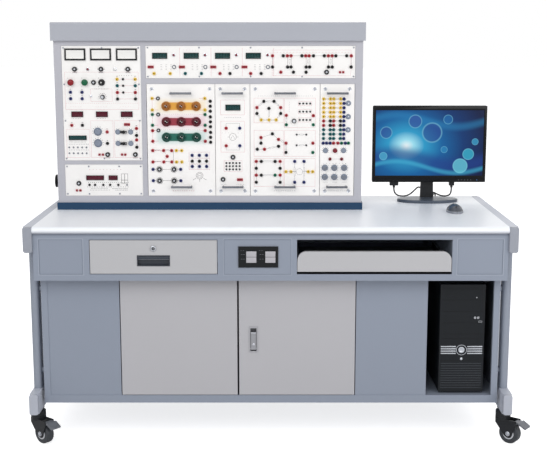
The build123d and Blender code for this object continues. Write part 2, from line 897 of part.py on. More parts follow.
# Console: plinth, front frame, rear case with the module shelf, and hood
console_right = console_left + console_width
console_back = console_front + console_depth
plinth_top = top_height + plinth_height
frame_top = plinth_top + frame_height
case_front_y = console_front + frame_depth
left_column = (console_left + side_margin, console_left + side_margin + left_column_width)
right_column = (left_column[1] + mullion, console_right - side_margin)
lower_edge = plinth_top + bottom_margin
timer_span = (lower_edge, lower_edge + timer_height)
supply_span = (timer_span[1] + left_mullion_height, frame_top - top_margin)
module_span = (lower_edge, lower_edge + module_height)
meter_span = (module_span[1] + right_mullion_height, frame_top - top_margin)
frame_openings = [
    (left_column, timer_span),
    (left_column, supply_span),
    (right_column, module_span),
    (right_column, meter_span),
]

with BuildPart() as console_plinth:
    block(
        (console_left - plinth_side, console_front - plinth_front, top_height),
        (console_right + plinth_side, console_back, plinth_top),
    )
    block(
        (console_left - plinth_side + sheet, console_front - plinth_front + sheet, top_height),
        (console_right + plinth_side - sheet, console_back - sheet, plinth_top - sheet),
        Mode.SUBTRACT,
    )
console_plinth.part.label = "console_plinth"
export_step(console_plinth.part, "parts/console_plinth.step")

with BuildPart() as console_frame:
    block((console_left, console_front, plinth_top), (console_right, case_front_y, frame_top))
    block(
        (console_left + sheet, console_front + sheet, plinth_top + sheet),
        (console_right - sheet, case_front_y, frame_top - sheet),
        Mode.SUBTRACT,
    )
    for span_x, span_z in frame_openings:
        block(
            (span_x[0] - sheet, console_front, span_z[0] - sheet),
            (span_x[1] + sheet, case_front_y, span_z[1] + sheet),
        )
    for span_x, span_z in frame_openings:
        block(
            (span_x[0], console_front, span_z[0]),
            (span_x[1], case_front_y, span_z[1]),
            Mode.SUBTRACT,
        )
console_frame.part.label = "console_frame"
export_step(console_frame.part, "parts/console_frame.step")

with BuildPart() as console_case:
    block((console_left, case_front_y, plinth_top), (console_right, console_back, frame_top))
    block(
        (console_left + sheet, case_front_y, plinth_top + sheet),
        (console_right - sheet, console_back - sheet, frame_top - sheet),
        Mode.SUBTRACT,
    )
    block(
        (console_left + sheet, case_front_y, lower_edge - sheet),
        (console_right - sheet, case_front_y + shelf_depth, lower_edge),
    )
    with Locations((console_left, side_knob_y, side_knob_z)):
        Cylinder(stem_radius + running_gap, 4 * sheet, rotation=(0, 90, 0), mode=Mode.SUBTRACT)
console_case.part.label = "console_case"
export_step(console_case.part, "parts/console_case.step")

with BuildPart() as console_hood:
    hood_low = (console_left - hood_side, console_front - hood_front, frame_top)
    hood_high = (console_right + hood_side, console_back + hood_side, frame_top + hood_height)
    block(hood_low, hood_high)
    fillet(console_hood.edges().filter_by(Axis.X).group_by(Axis.Z)[-1], hood_round)
    block(
        (hood_low[0] + sheet, hood_low[1] + sheet, frame_top + sheet),
        (hood_high[0] - sheet, hood_high[1] - sheet, hood_high[2] - 2 * sheet),
        Mode.SUBTRACT,
    )
    block(
        (hood_low[0] + hood_flange, hood_low[1] + hood_flange, frame_top),
        (hood_high[0] - hood_flange, hood_high[1] - hood_flange, frame_top + sheet),
        Mode.SUBTRACT,
    )
console_hood.part.label = "console_hood"
export_step(console_hood.part, "parts/console_hood.step")

# Fixed instrument panels: supply, timer and meters
panel_y = console_front + panel_recess
panel_back = panel_y + panel_thickness
supply_origin = (left_column[0], supply_span[0])
timer_origin = (left_column[0], timer_span[0])
meter_origin = (right_column[0], meter_span[0])
stop_place = (33.0, 292.0)
start_place = (85.0, 292.0)
key_place = (147.0, 292.0)
coarse_place = (225.0, 108.0)
fine_place = (225.0, 65.0)


def placed(origin, points):
    """Points of a panel, measured from its lower left corner, as places on the front plane."""
    return [(origin[0] + u, origin[1] + w) for u, w in points]


supply_controls = placed(supply_origin, [stop_place, start_place, key_place, coarse_place, fine_place])
with BuildPart(face_plane(0, panel_back, 0)) as instrument_panels:
    for span_x, span_z in (frame_openings[0], frame_openings[1], frame_openings[3]):
        with Locations(((span_x[0] + span_x[1]) / 2, (span_z[0] + span_z[1]) / 2)):
            Box(
                span_x[1] - span_x[0] - 2 * panel_gap,
                span_z[1] - span_z[0] - 2 * panel_gap,
                panel_thickness,
                align=base,
            )
    with Locations(*supply_controls):
        Cylinder(stem_radius + running_gap, panel_thickness, align=base, mode=Mode.SUBTRACT)
instrument_panels.part.label = "instrument_panels"
export_step(instrument_panels.part, "parts/instrument_panels.step")

# Displays of the fixed panels
with BuildPart(face_plane(0, panel_y, 0)) as panel_displays:
    plates(placed(supply_origin, [(51, 395), (146, 395), (242, 395)]), 76, 42, display_height)
    plates(placed(supply_origin, [(53, 174), (145, 174), (238, 174)]), 44, 21, display_height)
    plates(placed(supply_origin, [(52, 86)]), 67, 17, display_height)
    plates(placed(timer_origin, [(113, 69)]), 67, 18, display_height)
    plates(placed(timer_origin, [(181, 69)]), 34, 18, display_height)
    plates(placed(meter_origin, [(53, 83), (170, 83), (286, 83), (400, 83)]), 56, 22, display_height)
panel_displays.part.label = "panel_displays"
export_step(panel_displays.part, "parts/panel_displays.step")

# Jacks, fuse holders, dials and small switches of the fixed panels
supply_jacks = [(u, w) for u in (205, 272) for w in (304, 280, 255, 231)]
supply_jacks += [(u, w) for u in (30, 73) for w in (256, 232)]
supply_jacks += [(31, 133), (71, 133), (163, 108), (163, 65)]
supply_jacks += [(273, w) for w in (121, 95, 78, 51)]
supply_rings = [(48, 341), (146, 341), (246, 341), (163, 23), (267, 23)]
supply_lamps = [(97, 341), (198, 341), (117, 292)]
supply_dials = [(128, 109), (128, 66), (203, 108), (251, 108), (203, 65), (251, 65)]
supply_squares = [(132, 23), (145, 23), (217, 23), (229, 23)]
supply_rockers = [(238, 136), (106, 242)]
timer_squares = [(43, 21), (56, 21)]
timer_buttons = [(u, 42) for u in (91, 112, 143, 169, 200, 233)]
meter_pitch = 116.0
meter_jacks = [(u + meter_pitch * k, 18) for k in range(4) for u in (31, 91)]
meter_jacks[4:] = [(276, 18), (313, 18), (390, 18), (429, 18)]
meter_rings = [(106 + meter_pitch * k, 42) for k in range(4)]
meter_rockers = [(19 + meter_pitch * k, 42) for k in range(4)]
terminal_rows = [(471, 83), (471, 42), (502, 23), (549, 23), (596, 23)]
terminal_rows += [(u, 83) for u in (511, 526, 540, 580, 594, 607, 623, 663, 678, 692, 706, 746, 763)]
terminal_rows += [(u, 42) for u in (527, 540, 596, 609, 679, 693, 763)]
with BuildPart(face_plane(0, panel_y, 0)) as panel_terminals:
    studs(placed(supply_origin, supply_jacks), jack_radius, jack_height, jack_bore)
    studs(placed(meter_origin, meter_jacks + terminal_rows), jack_radius, jack_height, jack_bore)
    studs(placed(supply_origin, supply_rings), fuse_radius, fuse_height)
    studs(placed(timer_origin, [(51, 48)]), fuse_radius, fuse_height)
    studs(placed(meter_origin, meter_rings + [(672, 23)]), fuse_radius, fuse_height)
    studs(placed(supply_origin, supply_lamps), small_lamp_radius, small_lamp_height)
    studs(placed(supply_origin, supply_dials), dial_radius, dial_height)
    studs(placed(supply_origin, [(149, 238)]), small_knob_radius, small_knob_height)
    studs(placed(timer_origin, timer_buttons), timer_button_radius, low_height)
    plates(placed(supply_origin, supply_squares), fuse_square, fuse_square, low_height)
    plates(placed(supply_origin, supply_rockers), rocker_length, rocker_width, low_height)
    plates(placed(timer_origin, timer_squares), fuse_square, fuse_square, low_height)
    plates(placed(meter_origin, meter_rockers), rocker_length, rocker_width, low_height)
    plates(placed(meter_origin, [(722, 23), (734, 23)]), fuse_square, fuse_square, low_height)
panel_terminals.part.label = "panel_terminals"
export_step(panel_terminals.part, "parts/panel_terminals.step")

# Stop and start buttons, each on a stem through the supply panel
for name, place in (("stop_button", stop_place), ("start_button", start_place)):
    x, z = placed(supply_origin, [place])[0]
    with BuildPart(face_plane(x, panel_y - button_lift, z)) as button:
        Cylinder(button_radius, button_height, align=base)
        fillet(button.edges().group_by(Axis.Y)[0], button_height / 4)
        Cylinder(stem_radius, stem_length, align=(Align.CENTER, Align.CENTER, Align.MAX))
    button.part.label = name
    export_step(button.part, f"parts/{name}.step")

# Key switch and pointer knobs
x, z = placed(supply_origin, [key_place])[0]
with BuildPart(face_plane(x, panel_y - face_gap, z)) as key_switch:
    Cylinder(key_radius, key_height / 2, align=base)
    Box(key_grip_width, 1.7 * key_radius, key_height, align=base)
    Cylinder(stem_radius, stem_length, align=(Align.CENTER, Align.CENTER, Align.MAX))
key_switch.part.label = "key_switch"
export_step(key_switch.part, "parts/key_switch.step")

for name, place in (("coarse_knob", coarse_place), ("fine_knob", fine_place)):
    x, z = placed(supply_origin, [place])[0]
    with BuildPart(face_plane(x, panel_y - face_gap - dial_height, z)) as knob:
        Cylinder(pointer_hub, pointer_height, align=base)
        Box(pointer_length, pointer_width, 0.8 * pointer_height, align=base)
        Cylinder(stem_radius, stem_length, align=(Align.CENTER, Align.CENTER, Align.MAX))
    knob.part.label = name
    export_step(knob.part, f"parts/{name}.step")

# Spool-shaped knob on the left side of the console
knob_start = side_knob_gap
with BuildPart(
    Plane(origin=(console_left, side_knob_y, side_knob_z), x_dir=(0, 1, 0), z_dir=(-1, 0, 0))
) as side_knob:
    with Locations((0, 0, knob_start)):
        Cylinder(side_knob_waist, side_knob_length, align=base)
        Cylinder(side_knob_radius, side_knob_flange, align=base)
    with Locations((0, 0, knob_start + side_knob_length - side_knob_flange)):
        Cylinder(side_knob_radius, side_knob_flange, align=base)
    with Locations((0, 0, knob_start)):
        Cylinder(stem_radius, stem_length, align=(Align.CENTER, Align.CENTER, Align.MAX))
side_knob.part.label = "side_knob"
export_step(side_knob.part, "parts/side_knob.step")

# Plug-in modules: a front plate with a housing behind it and two bar handles, and the fittings on it
module_names = ("lamp", "meter", "circuit", "component")
row_width = right_column[1] - right_column[0]
module_gap = (row_width - sum(module_widths)) / (len(module_widths) + 1)
module_lefts = [
    right_column[0] + module_gap * (k + 1) + sum(module_widths[:k]) for k in range(len(module_widths))
]
plate_height = module_height - 2 * panel_gap
for name, left, width in zip(module_names, module_lefts, module_widths):
    middle = left + width / 2
    with BuildPart(face_plane(middle, panel_back, lower_edge + panel_gap)) as module:
        plate_base = (Align.CENTER, Align.MIN, Align.MIN)
        behind = (Align.CENTER, Align.MIN, Align.MAX)
        Box(width, plate_height, panel_thickness, align=plate_base)
        Box(width - 2 * sheet, plate_height, module_depth, align=behind)
        with Locations((0, module_wall, 0)):
            Box(
                width - 2 * sheet - 2 * module_wall,
                plate_height - 2 * module_wall,
                module_depth,
                align=behind,
                mode=Mode.SUBTRACT,
            )
        for height in (handle_inset, module_height - handle_inset):
            stand = panel_thickness + seat_gap
            with Locations(
                (-handle_length / 2 + handle_bar_radius, height, stand),
                (handle_length / 2 - handle_bar_radius, height, stand),
            ):
                Cylinder(handle_bar_radius, handle_stand - handle_bar_radius, align=base)
            with Locations((0, height, stand + handle_stand - handle_bar_radius)):
                Cylinder(handle_bar_radius, handle_length, rotation=(0, 90, 0))
    module.part.label = f"{name}_module"
    export_step(module.part, f"parts/{name}_module.step")

left_edges = dict(zip(module_names, module_lefts))


def corner_screws(width):
    """The four screws of a module's front plate."""
    columns = (screw_inset, width - screw_inset)
    rows = (screw_inset, module_height - screw_inset)
    studs([(u, w) for u in columns for w in rows], screw_radius, screw_height)


def module_plane(name):
    """The front plane of a module's plate, with its origin at the plate's lower left corner."""
    return face_plane(left_edges[name], panel_y, lower_edge)


lamp_columns = (72.0, 128.0, 184.0)
lamp_rows = (338.0, 280.0, 222.0)
with BuildPart(module_plane("lamp")) as lamp_module_fittings:
    corner_screws(module_widths[0])
    studs([(u, w) for u in lamp_columns for w in lamp_rows], lamp_radius, lamp_height)
    side_rows = (367.0, 324.0, 307.0, 267.0, 247.0, 207.0)
    jacks = [(u, w) for u in (20.0, 217.0) for w in side_rows]
    jacks += [(237.0, w + step) for w in lamp_rows for step in (18.5, 0.0, -18.5)]
    jacks += [(u, w) for u in (19.0, 60.0, 90.0, 108.0, 128.0) for w in (172.0, 129.0)]
    jacks += [(73.0, 150.0)]
    jacks += [(u, w) for u in (19.0, 123.0) for w in (101.0, 58.0)]
    jacks += [(u, w) for u in (167.0, 194.0, 221.0) for w in (154.0, 132.0, 112.0)]
    studs(jacks, jack_radius, jack_height, jack_bore)
    studs([(u, w) for u in (43.0, 98.0) for w in (101.0, 58.0)], ring_radius, low_height)
    studs([(42.0, w) for w in (367.0, 307.0, 248.0)], toggle_radius, small_knob_height)
lamp_module_fittings.part.label = "lamp_module_fittings"
export_step(lamp_module_fittings.part, "parts/lamp_module_fittings.step")

with BuildPart(module_plane("meter")) as meter_module_fittings:
    corner_screws(module_widths[1])
    plates([(66.0, 333.0)], 56, 22, display_height)
    studs([(u, w) for u in (40.0, 91.0) for w in (256.0, 190.0)], jack_radius, jack_height, jack_bore)
    studs([(65.0, 147.0), (27.0, 63.0)], fuse_radius, fuse_height)
    keys = [(40.0 + 12.5 * k, w) for k in range(5) for w in (125.0, 113.0, 101.0)]
    studs(keys, trimmer_radius, trimmer_height)
    plates([(91.0, 62.0)], rocker_length, rocker_width, low_height)
meter_module_fittings.part.label = "meter_module_fittings"
export_step(meter_module_fittings.part, "parts/meter_module_fittings.step")

with BuildPart(module_plane("circuit")) as circuit_module_fittings:
    corner_screws(module_widths[2])
    jacks = [(51, 356), (89, 356), (70, 330), (25, 311), (114, 311), (83, 235), (40, 200), (106, 188)]
    jacks += [(26, 177), (134, 165), (25, 333), (114, 333), (135, 304), (236, 303), (40, 221)]
    jacks += [(106, 214)]
    jacks += [(53, 177), (134, 200), (235, 200), (41, 287), (70, 287), (97, 287), (135, 269), (236, 269)]
    jacks += [(235, 165), (22, 131), (41, 131), (93, 131), (112, 131), (167, 131), (202, 131)]
    jacks += [(22, 105), (112, 105), (22, 79), (41, 79), (93, 79), (112, 79)]
    jacks += [(134, 92), (153, 92), (218, 92), (235, 92), (22, 52), (112, 52), (167, 52), (202, 52)]
    studs(jacks, jack_radius, jack_height, jack_bore)
    trimmers = [(185.0 + 13.0 * k, w) for k in range(4) for w in (348.0, 318.0, 287.0)]
    trimmers += [(174.0, 232.0), (210.0, 232.0), (174.0, 192.0), (210.0, 192.0)]
    studs(trimmers, trimmer_radius, trimmer_height)
    studs([(164.0, 283.0)], small_knob_radius, small_knob_height)
circuit_module_fittings.part.label = "circuit_module_fittings"
export_step(circuit_module_fittings.part, "parts/circuit_module_fittings.step")

with BuildPart(module_plane("component")) as component_module_fittings:
    corner_screws(module_widths[3])
    grid_rows = [365.0 - 16.4 * k for k in range(10)]
    jacks = [(u, w) for u in (13.0, 38.0, 51.0, 76.0, 89.0) for w in grid_rows]
    jacks += [(u, 200.0) for u in (12.0, 25.0, 38.0, 51.0, 67.0, 81.0, 95.0, 107.0)]
    jacks += [(38.0, 140.0), (82.0, 140.0)]
    studs(jacks, jack_radius, jack_height, jack_bore)
    studs([(105.0, 349.0), (105.0, 299.0), (105.0, 250.0)], toggle_radius, small_knob_height)
    studs([(21.0, 172.0), (89.0, 172.0)], scale_radius, dial_height)
    studs([(57.0, 172.0)], small_knob_radius, small_knob_height)
    wide_knobs = [(u, w) for u in (19.0, 55.0, 92.0) for w in (107.0, 72.0)]
    studs(wide_knobs, wide_knob_radius, wide_knob_height)
component_module_fittings.part.label = "component_module_fittings"
export_step(component_module_fittings.part, "parts/component_module_fittings.step")

# Monitor: an oval foot with a neck, and a head that tilts on a pin through the neck's top
tilt_rear = neck_y + tilt_barrel_radius
with BuildPart() as monitor_stand:
    with BuildSketch(Plane(origin=(monitor_x, stand_y, top_height))):
        Ellipse(stand_width / 2, stand_depth / 2)
    extrude(amount=stand_thickness)
    fillet(monitor_stand.edges().group_by(Axis.Z)[-1], stand_thickness / 3)
    with BuildSketch(face_plane(monitor_x, neck_y + neck_thickness / 2, 0)):
        with BuildLine():
            Polyline(
                (-neck_foot_width / 2, top_height + stand_thickness / 2),
                (neck_foot_width / 2, top_height + stand_thickness / 2),
                (neck_top_width / 2, tilt_height),
                (-neck_top_width / 2, tilt_height),
                close=True,
            )
        make_face()
    extrude(amount=neck_thickness)
    with Locations((monitor_x, neck_y, tilt_height)):
        Cylinder(tilt_barrel_radius, neck_top_width, rotation=(0, 90, 0))
        Cylinder(tilt_pin_radius + running_gap, 3 * neck_top_width, rotation=(0, 90, 0), mode=Mode.SUBTRACT)
monitor_stand.part.label = "monitor_stand"
export_step(monitor_stand.part, "parts/monitor_stand.step")

monitor_left = monitor_x - monitor_width / 2
monitor_right = monitor_x + monitor_width / 2
monitor_top = monitor_bottom + monitor_height
monitor_back = monitor_front + monitor_edge
bulge_back = monitor_back + monitor_bulge
ear_start = neck_top_width / 2 + 2 * face_gap
screen_low = (monitor_left + monitor_bezel, monitor_front, monitor_bottom + monitor_chin)
screen_high = (
    monitor_right - monitor_bezel,
    monitor_front + 2 * screen_inset,
    monitor_top - monitor_brow,
)
with BuildPart() as monitor_head:
    block((monitor_left, monitor_front, monitor_bottom), (monitor_right, monitor_back, monitor_top))
    fillet(monitor_head.edges().filter_by(Axis.Y), monitor_round)
    with Locations((monitor_x, monitor_back, (monitor_bottom + monitor_top) / 2)):
        Box(
            monitor_bulge_width,
            monitor_bulge,
            monitor_bulge_height,
            align=(Align.CENTER, Align.MIN, Align.CENTER),
        )
    block(screen_low, screen_high, Mode.SUBTRACT)
    for side in (-1, 1):
        centre_x = monitor_x + side * (ear_start + tilt_ear_width / 2)
        with Locations((centre_x, bulge_back, tilt_height)):
            Box(
                tilt_ear_width,
                tilt_rear - bulge_back,
                2 * tilt_barrel_radius,
                align=(Align.CENTER, Align.MIN, Align.CENTER),
            )
    with Locations((monitor_x, neck_y, tilt_height)):
        Cylinder(tilt_pin_radius, 2 * ear_start + tilt_ear_width, rotation=(0, 90, 0))
    block(
        tuple(v + seat_gap for v in screen_low),
        tuple(v - seat_gap for v in screen_high),
    )
monitor_head.part.label = "monitor_head"
export_step(monitor_head.part, "parts/monitor_head.step")

# Plugs in the underside of the monitor head
plug_low = monitor_bottom - plug_length
nose_top = plug_low + plug_nose_length
with BuildPart() as cable_plugs:
    for x, width, depth in (
        (video_plug_x, video_plug_width, video_plug_depth),
        (power_plug_x, power_plug_width, power_plug_depth),
    ):
        with Locations((x, plug_y, nose_top)):
            Box(width, depth, monitor_bottom - nose_top, align=base)
        with Locations((x, plug_y, plug_low)):
            Cylinder(plug_nose_radius, plug_nose_length, align=base)
cable_plugs.part.label = "cable_plugs"
export_step(cable_plugs.part, "parts/cable_plugs.step")

# Computer case with its front bezel, and the power button in the bezel
case_right = case_left + case_width
case_low = floor_height + case_foot
case_back = case_front + case_depth
case_middle = (case_left + case_right) / 2
case_top = floor_height + case_height
bezel_back = case_front + bezel_depth
foot_x = case_width - 2 * case_foot_inset
foot_y = case_back - bezel_back - 2 * case_foot_inset
with BuildPart() as computer_case:
    block((case_left, bezel_back, case_low), (case_right, case_back, case_top))
    with Locations((case_middle, (bezel_back + case_back) / 2, floor_height)):
        with GridLocations(foot_x, foot_y, 2, 2):
            Cylinder(case_foot_radius, case_foot, align=base)
    block(
        (case_left + sheet, bezel_back, case_low + sheet),
        (case_right - sheet, case_back - sheet, case_top - sheet),
        Mode.SUBTRACT,
    )
    block((case_left, case_front, case_low), (case_right, bezel_back - seat_gap, case_top))
    block(
        (case_left + bezel_wall, case_front + bezel_wall, case_low + bezel_wall),
        (case_right - bezel_wall, bezel_back - seat_gap, case_top - bezel_wall),
        Mode.SUBTRACT,
    )
    with Locations((case_middle, case_front, power_button_z)):
        Cylinder(
            power_button_radius + panel_gap,
            4 * bezel_wall,
            rotation=(90, 0, 0),
            mode=Mode.SUBTRACT,
        )
computer_case.part.label = "computer_case"
export_step(computer_case.part, "parts/computer_case.step")

with BuildPart(face_plane(case_middle, case_front - button_proud, power_button_z)) as tower_power_button:
    Cylinder(power_button_radius, power_button_depth, align=(Align.CENTER, Align.CENTER, Align.MAX))
tower_power_button.part.label = "tower_power_button"
export_step(tower_power_button.part, "parts/tower_power_button.step")

# Mouse
with BuildPart() as mouse:
    with BuildSketch(Plane(origin=(mouse_x, mouse_y, top_height))):
        Ellipse(mouse_width / 2, mouse_length / 2)
    extrude(amount=mouse_height)
    fillet(mouse.edges().group_by(Axis.Z)[-1], mouse_crown)
mouse.part.label = "mouse"
export_step(mouse.part, "parts/mouse.step")

# Cables from the monitor, over the rear edge of the worktop, to the back of the computer
video_route = [
    (487.0, 215.0, 855.0),
    (487.0, 215.0, 841.0),
    (496.0, 219.0, 826.0),
    (513.0, 224.0, 819.0),
    (535.0, 230.0, 818.0),
    (556.0, 238.0, 825.0),
    (573.0, 248.0, 839.0),
    (588.0, 264.0, 850.0),
    (601.0, 285.0, 846.0),
    (617.0, 301.0, 829.0),
    (627.0, 322.0, 812.0),
    (633.0, 350.0, 804.0),
    (638.0, 383.0, 813.0),
    (641.0, 408.0, 802.0),
    (643.0, 420.0, 774.0),
    (646.0, 421.0, 722.0),
    (648.0, 415.0, 645.0),
    (650.0, 418.0, 563.0),
    (649.0, 414.0, 480.0),
    (652.0, 417.0, 400.0),
    (654.0, 414.0, 345.0),
    (656.0, 415.0, 306.0),
    (657.0, 393.0, 284.0),
    (659.0, 363.0, 285.0),
    (661.0, 344.0, 308.0),
    (662.0, 347.0, 350.0),
    (662.0, 352.0, 395.0),
    (662.0, 351.0, 437.0),
    (663.0, 334.0, 467.0),
    (664.0, 300.0, 473.0),
    (666.0, 262.0, 462.0),
    (668.0, 215.0, 455.0),
    (669.0, 174.0, 450.0),
    (669.0, case_back, 450.0),
]
power_route = [
    (715.0, 215.0, 855.0),
    (715.0, 215.0, 841.0),
    (712.0, 221.0, 826.0),
    (699.0, 230.0, 818.0),
    (681.0, 243.0, 817.0),
    (665.0, 259.0, 822.0),
    (654.0, 279.0, 827.0),
    (651.0, 300.0, 820.0),
    (655.0, 325.0, 808.0),
    (664.0, 353.0, 804.0),
    (673.0, 383.0, 813.0),
    (680.0, 408.0, 802.0),
    (684.0, 420.0, 774.0),
    (688.0, 422.0, 720.0),
    (691.0, 416.0, 640.0),
    (693.0, 420.0, 555.0),
    (696.0, 415.0, 470.0),
    (698.0, 419.0, 390.0),
    (700.0, 415.0, 335.0),
    (702.0, 416.0, 289.0),
    (704.0, 394.0, 267.0),
    (705.0, 364.0, 268.0),
    (706.0, 345.0, 291.0),
    (706.0, 348.0, 335.0),
    (706.0, 352.0, 388.0),
    (705.0, 351.0, 436.0),
    (705.0, 334.0, 468.0),
    (706.0, 299.0, 478.0),
    (708.0, 262.0, 490.0),
    (711.0, 215.0, 503.0),
    (712.0, 174.0, 508.0),
    (712.0, case_back, 508.0),
]


def corner_radii(points):
    """The arc at each corner of a route, from its shorter run and the angle that it turns."""
    radii = []
    for before, corner, after in zip(points, points[1:], points[2:]):
        run_in = Vector(*corner) - Vector(*before)
        run_out = Vector(*after) - Vector(*corner)
        half_turn = math.radians(run_in.get_angle(run_out) / 2)
        radii.append(run_share * min(run_in.length, run_out.length) / math.tan(half_turn))
    return radii


for name, route in (("video_cable", video_route), ("power_cable", power_route)):
    radii = corner_radii(route)
    with BuildPart() as cable:
        with BuildLine() as path:
            centre_line = FilletPolyline(*route, radius=radii)
        with BuildSketch(Plane(origin=centre_line @ 0, z_dir=centre_line % 0)):
            Circle(cable_radius)
        sweep(path=centre_line)
    cable.part.label = name
    export_step(cable.part, f"parts/{name}.step")
    expected = math.pi * cable_radius**2 * centre_line.length
    print(name, "length", round(centre_line.length))
    print("volume ratio", round(cable.part.volume / expected, 4))
    print("radii", [round(radius) for radius in radii])
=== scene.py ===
# %% [markdown]
# # An electrical engineering lab bench
#
# The bench is a steel table on casters. A console with four plug-in modules stands on it, beside a
# monitor, and a computer stands in a bay under it. The shapes that carry load or move come from a
# CAD model. This lesson dresses that model: it gives each surface its finish, and it adds the
# small pieces that a first look finds, such as jacks, lamps, displays and printed diagrams.

import json
import math

import bpy
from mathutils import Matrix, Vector


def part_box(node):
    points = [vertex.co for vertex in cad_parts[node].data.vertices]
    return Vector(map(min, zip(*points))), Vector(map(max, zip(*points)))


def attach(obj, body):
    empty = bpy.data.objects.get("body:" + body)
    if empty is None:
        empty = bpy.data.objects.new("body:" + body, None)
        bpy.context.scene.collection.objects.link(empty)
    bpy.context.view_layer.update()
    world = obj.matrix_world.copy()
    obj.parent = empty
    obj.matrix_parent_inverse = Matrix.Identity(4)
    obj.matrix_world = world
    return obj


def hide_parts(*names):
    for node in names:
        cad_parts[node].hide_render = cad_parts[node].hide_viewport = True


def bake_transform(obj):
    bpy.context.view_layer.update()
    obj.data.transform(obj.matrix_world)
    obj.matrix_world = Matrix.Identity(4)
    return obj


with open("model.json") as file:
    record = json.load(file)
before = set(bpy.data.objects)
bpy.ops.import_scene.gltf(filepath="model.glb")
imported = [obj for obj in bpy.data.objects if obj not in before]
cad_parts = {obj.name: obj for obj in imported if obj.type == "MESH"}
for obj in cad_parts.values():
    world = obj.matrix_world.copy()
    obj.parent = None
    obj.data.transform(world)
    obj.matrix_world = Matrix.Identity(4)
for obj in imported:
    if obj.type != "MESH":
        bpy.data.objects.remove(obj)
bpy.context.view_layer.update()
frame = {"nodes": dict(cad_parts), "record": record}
nodes = frame["nodes"]
print("pieces in the frame:", len(nodes))

# %% [markdown]
# ## The camera
#
# The photograph was taken from above the worktop, straight at the middle of the bench, and it looks
# down by ten degrees. A long lens from four metres keeps the upright edges nearly parallel, so the
# same lens is used here.

# %% Place the camera
camera_place = (0.0098, -4.0876, 1.4368)
look_down = 10.04
bpy.ops.object.camera_add(location=camera_place, rotation=(math.radians(90 - look_down), 0, 0))
camera = bpy.context.object
camera.name = "camera"
camera.data.sensor_width = 36
camera.data.lens = 72
bpy.context.scene.camera = camera
print("camera lens", camera.data.lens)

# %% [markdown]
# ## The monitor's two cables
#
# Each cable leaves a plug under the monitor, crosses the worktop, drops behind the bench and enters the
# computer through the cut-out in the back sheet. A cable is one smooth line with a round section, so a NURBS
# curve is the natural choice: its points pull the line without kinks. The line is also read as points, which
# give the cable's length.

# %% Draw the cables
cable_radius = 0.003
video_route = [
    (0.487, 0.215, 0.855), (0.487, 0.215, 0.841), (0.496, 0.219, 0.826), (0.513, 0.224, 0.819),
    (0.535, 0.230, 0.818), (0.556, 0.238, 0.825), (0.573, 0.248, 0.839), (0.588, 0.264, 0.850),
    (0.601, 0.285, 0.846), (0.617, 0.301, 0.829), (0.627, 0.322, 0.812), (0.633, 0.350, 0.804),
    (0.638, 0.383, 0.813), (0.641, 0.408, 0.802), (0.643, 0.420, 0.774), (0.646, 0.421, 0.722),
    (0.648, 0.415, 0.645), (0.650, 0.418, 0.563), (0.649, 0.414, 0.480), (0.652, 0.417, 0.400),
    (0.654, 0.414, 0.345), (0.656, 0.415, 0.306), (0.657, 0.393, 0.284), (0.659, 0.363, 0.285),
    (0.661, 0.344, 0.308), (0.662, 0.347, 0.350), (0.662, 0.352, 0.395), (0.662, 0.351, 0.437),
    (0.663, 0.334, 0.467), (0.664, 0.300, 0.473), (0.666, 0.262, 0.462), (0.668, 0.215, 0.455),
    (0.669, 0.174, 0.450), (0.669, 0.133, 0.450),
]
power_route = [
    (0.715, 0.215, 0.855), (0.715, 0.215, 0.841), (0.712, 0.221, 0.826), (0.699, 0.230, 0.818),
    (0.681, 0.243, 0.817), (0.665, 0.259, 0.822), (0.654, 0.279, 0.827), (0.651, 0.300, 0.820),
    (0.655, 0.325, 0.808), (0.664, 0.353, 0.804), (0.673, 0.383, 0.813), (0.680, 0.408, 0.802),
    (0.684, 0.420, 0.774), (0.688, 0.422, 0.720), (0.691, 0.416, 0.640), (0.693, 0.420, 0.555),
    (0.696, 0.415, 0.470), (0.698, 0.419, 0.390), (0.700, 0.415, 0.335), (0.702, 0.416, 0.289),
    (0.704, 0.394, 0.267), (0.705, 0.364, 0.268), (0.706, 0.345, 0.291), (0.706, 0.348, 0.335),
    (0.706, 0.352, 0.388), (0.705, 0.351, 0.436), (0.705, 0.334, 0.468), (0.706, 0.299, 0.478),
    (0.708, 0.262, 0.490), (0.711, 0.215, 0.503), (0.712, 0.174, 0.508), (0.712, 0.133, 0.508),
]


def draw_cable(name, route):
    """A tube along a smooth line, and the points of that line."""
    line = bpy.data.curves.new(name, "CURVE")
    line.dimensions = "3D"
    line.resolution_u = 5
    spline = line.splines.new("NURBS")
    spline.points.add(len(route) - 1)
    for point, place in zip(spline.points, route):
        point.co = (*place, 1)
    spline.order_u = 3
    spline.use_endpoint_u = True
    cable = bpy.data.objects.new(name, line)
    bpy.context.scene.collection.objects.link(cable)
    bpy.context.view_layer.update()
    thread = bpy.data.meshes.new_from_object(cable)
    points = [vertex.co.copy() for vertex in thread.vertices]
    bpy.data.meshes.remove(thread)
    line.bevel_depth = cable_radius
    line.bevel_resolution = 3
    line.use_fill_caps = True
    bpy.ops.object.select_all(action="DESELECT")
    cable.select_set(True)
    bpy.context.view_layer.objects.active = cable
    bpy.ops.object.convert(target="MESH")
    bpy.ops.object.shade_smooth()
    return bpy.context.object, points


print("points chosen for the cables:", len(video_route) + len(power_route))

# %% [markdown]
# Each cable becomes a tube along its route, and its length is measured from the points of its line. The
# cable's CAD node is hidden in its place.

# %% Make the cables and hide their CAD nodes
cables = {}
for name, route, shared in (
    ("video_cable", video_route, [nodes["cable_plugs"]]),
    ("power_cable", power_route, []),
):
    cable, points = draw_cable(f"{name}_sheath", route)
    length = sum((b - a).length for a, b in zip(points, points[1:]))
    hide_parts(name)
    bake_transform(cable)
    cables[name] = cable
    print(name, "length", round(length, 3))

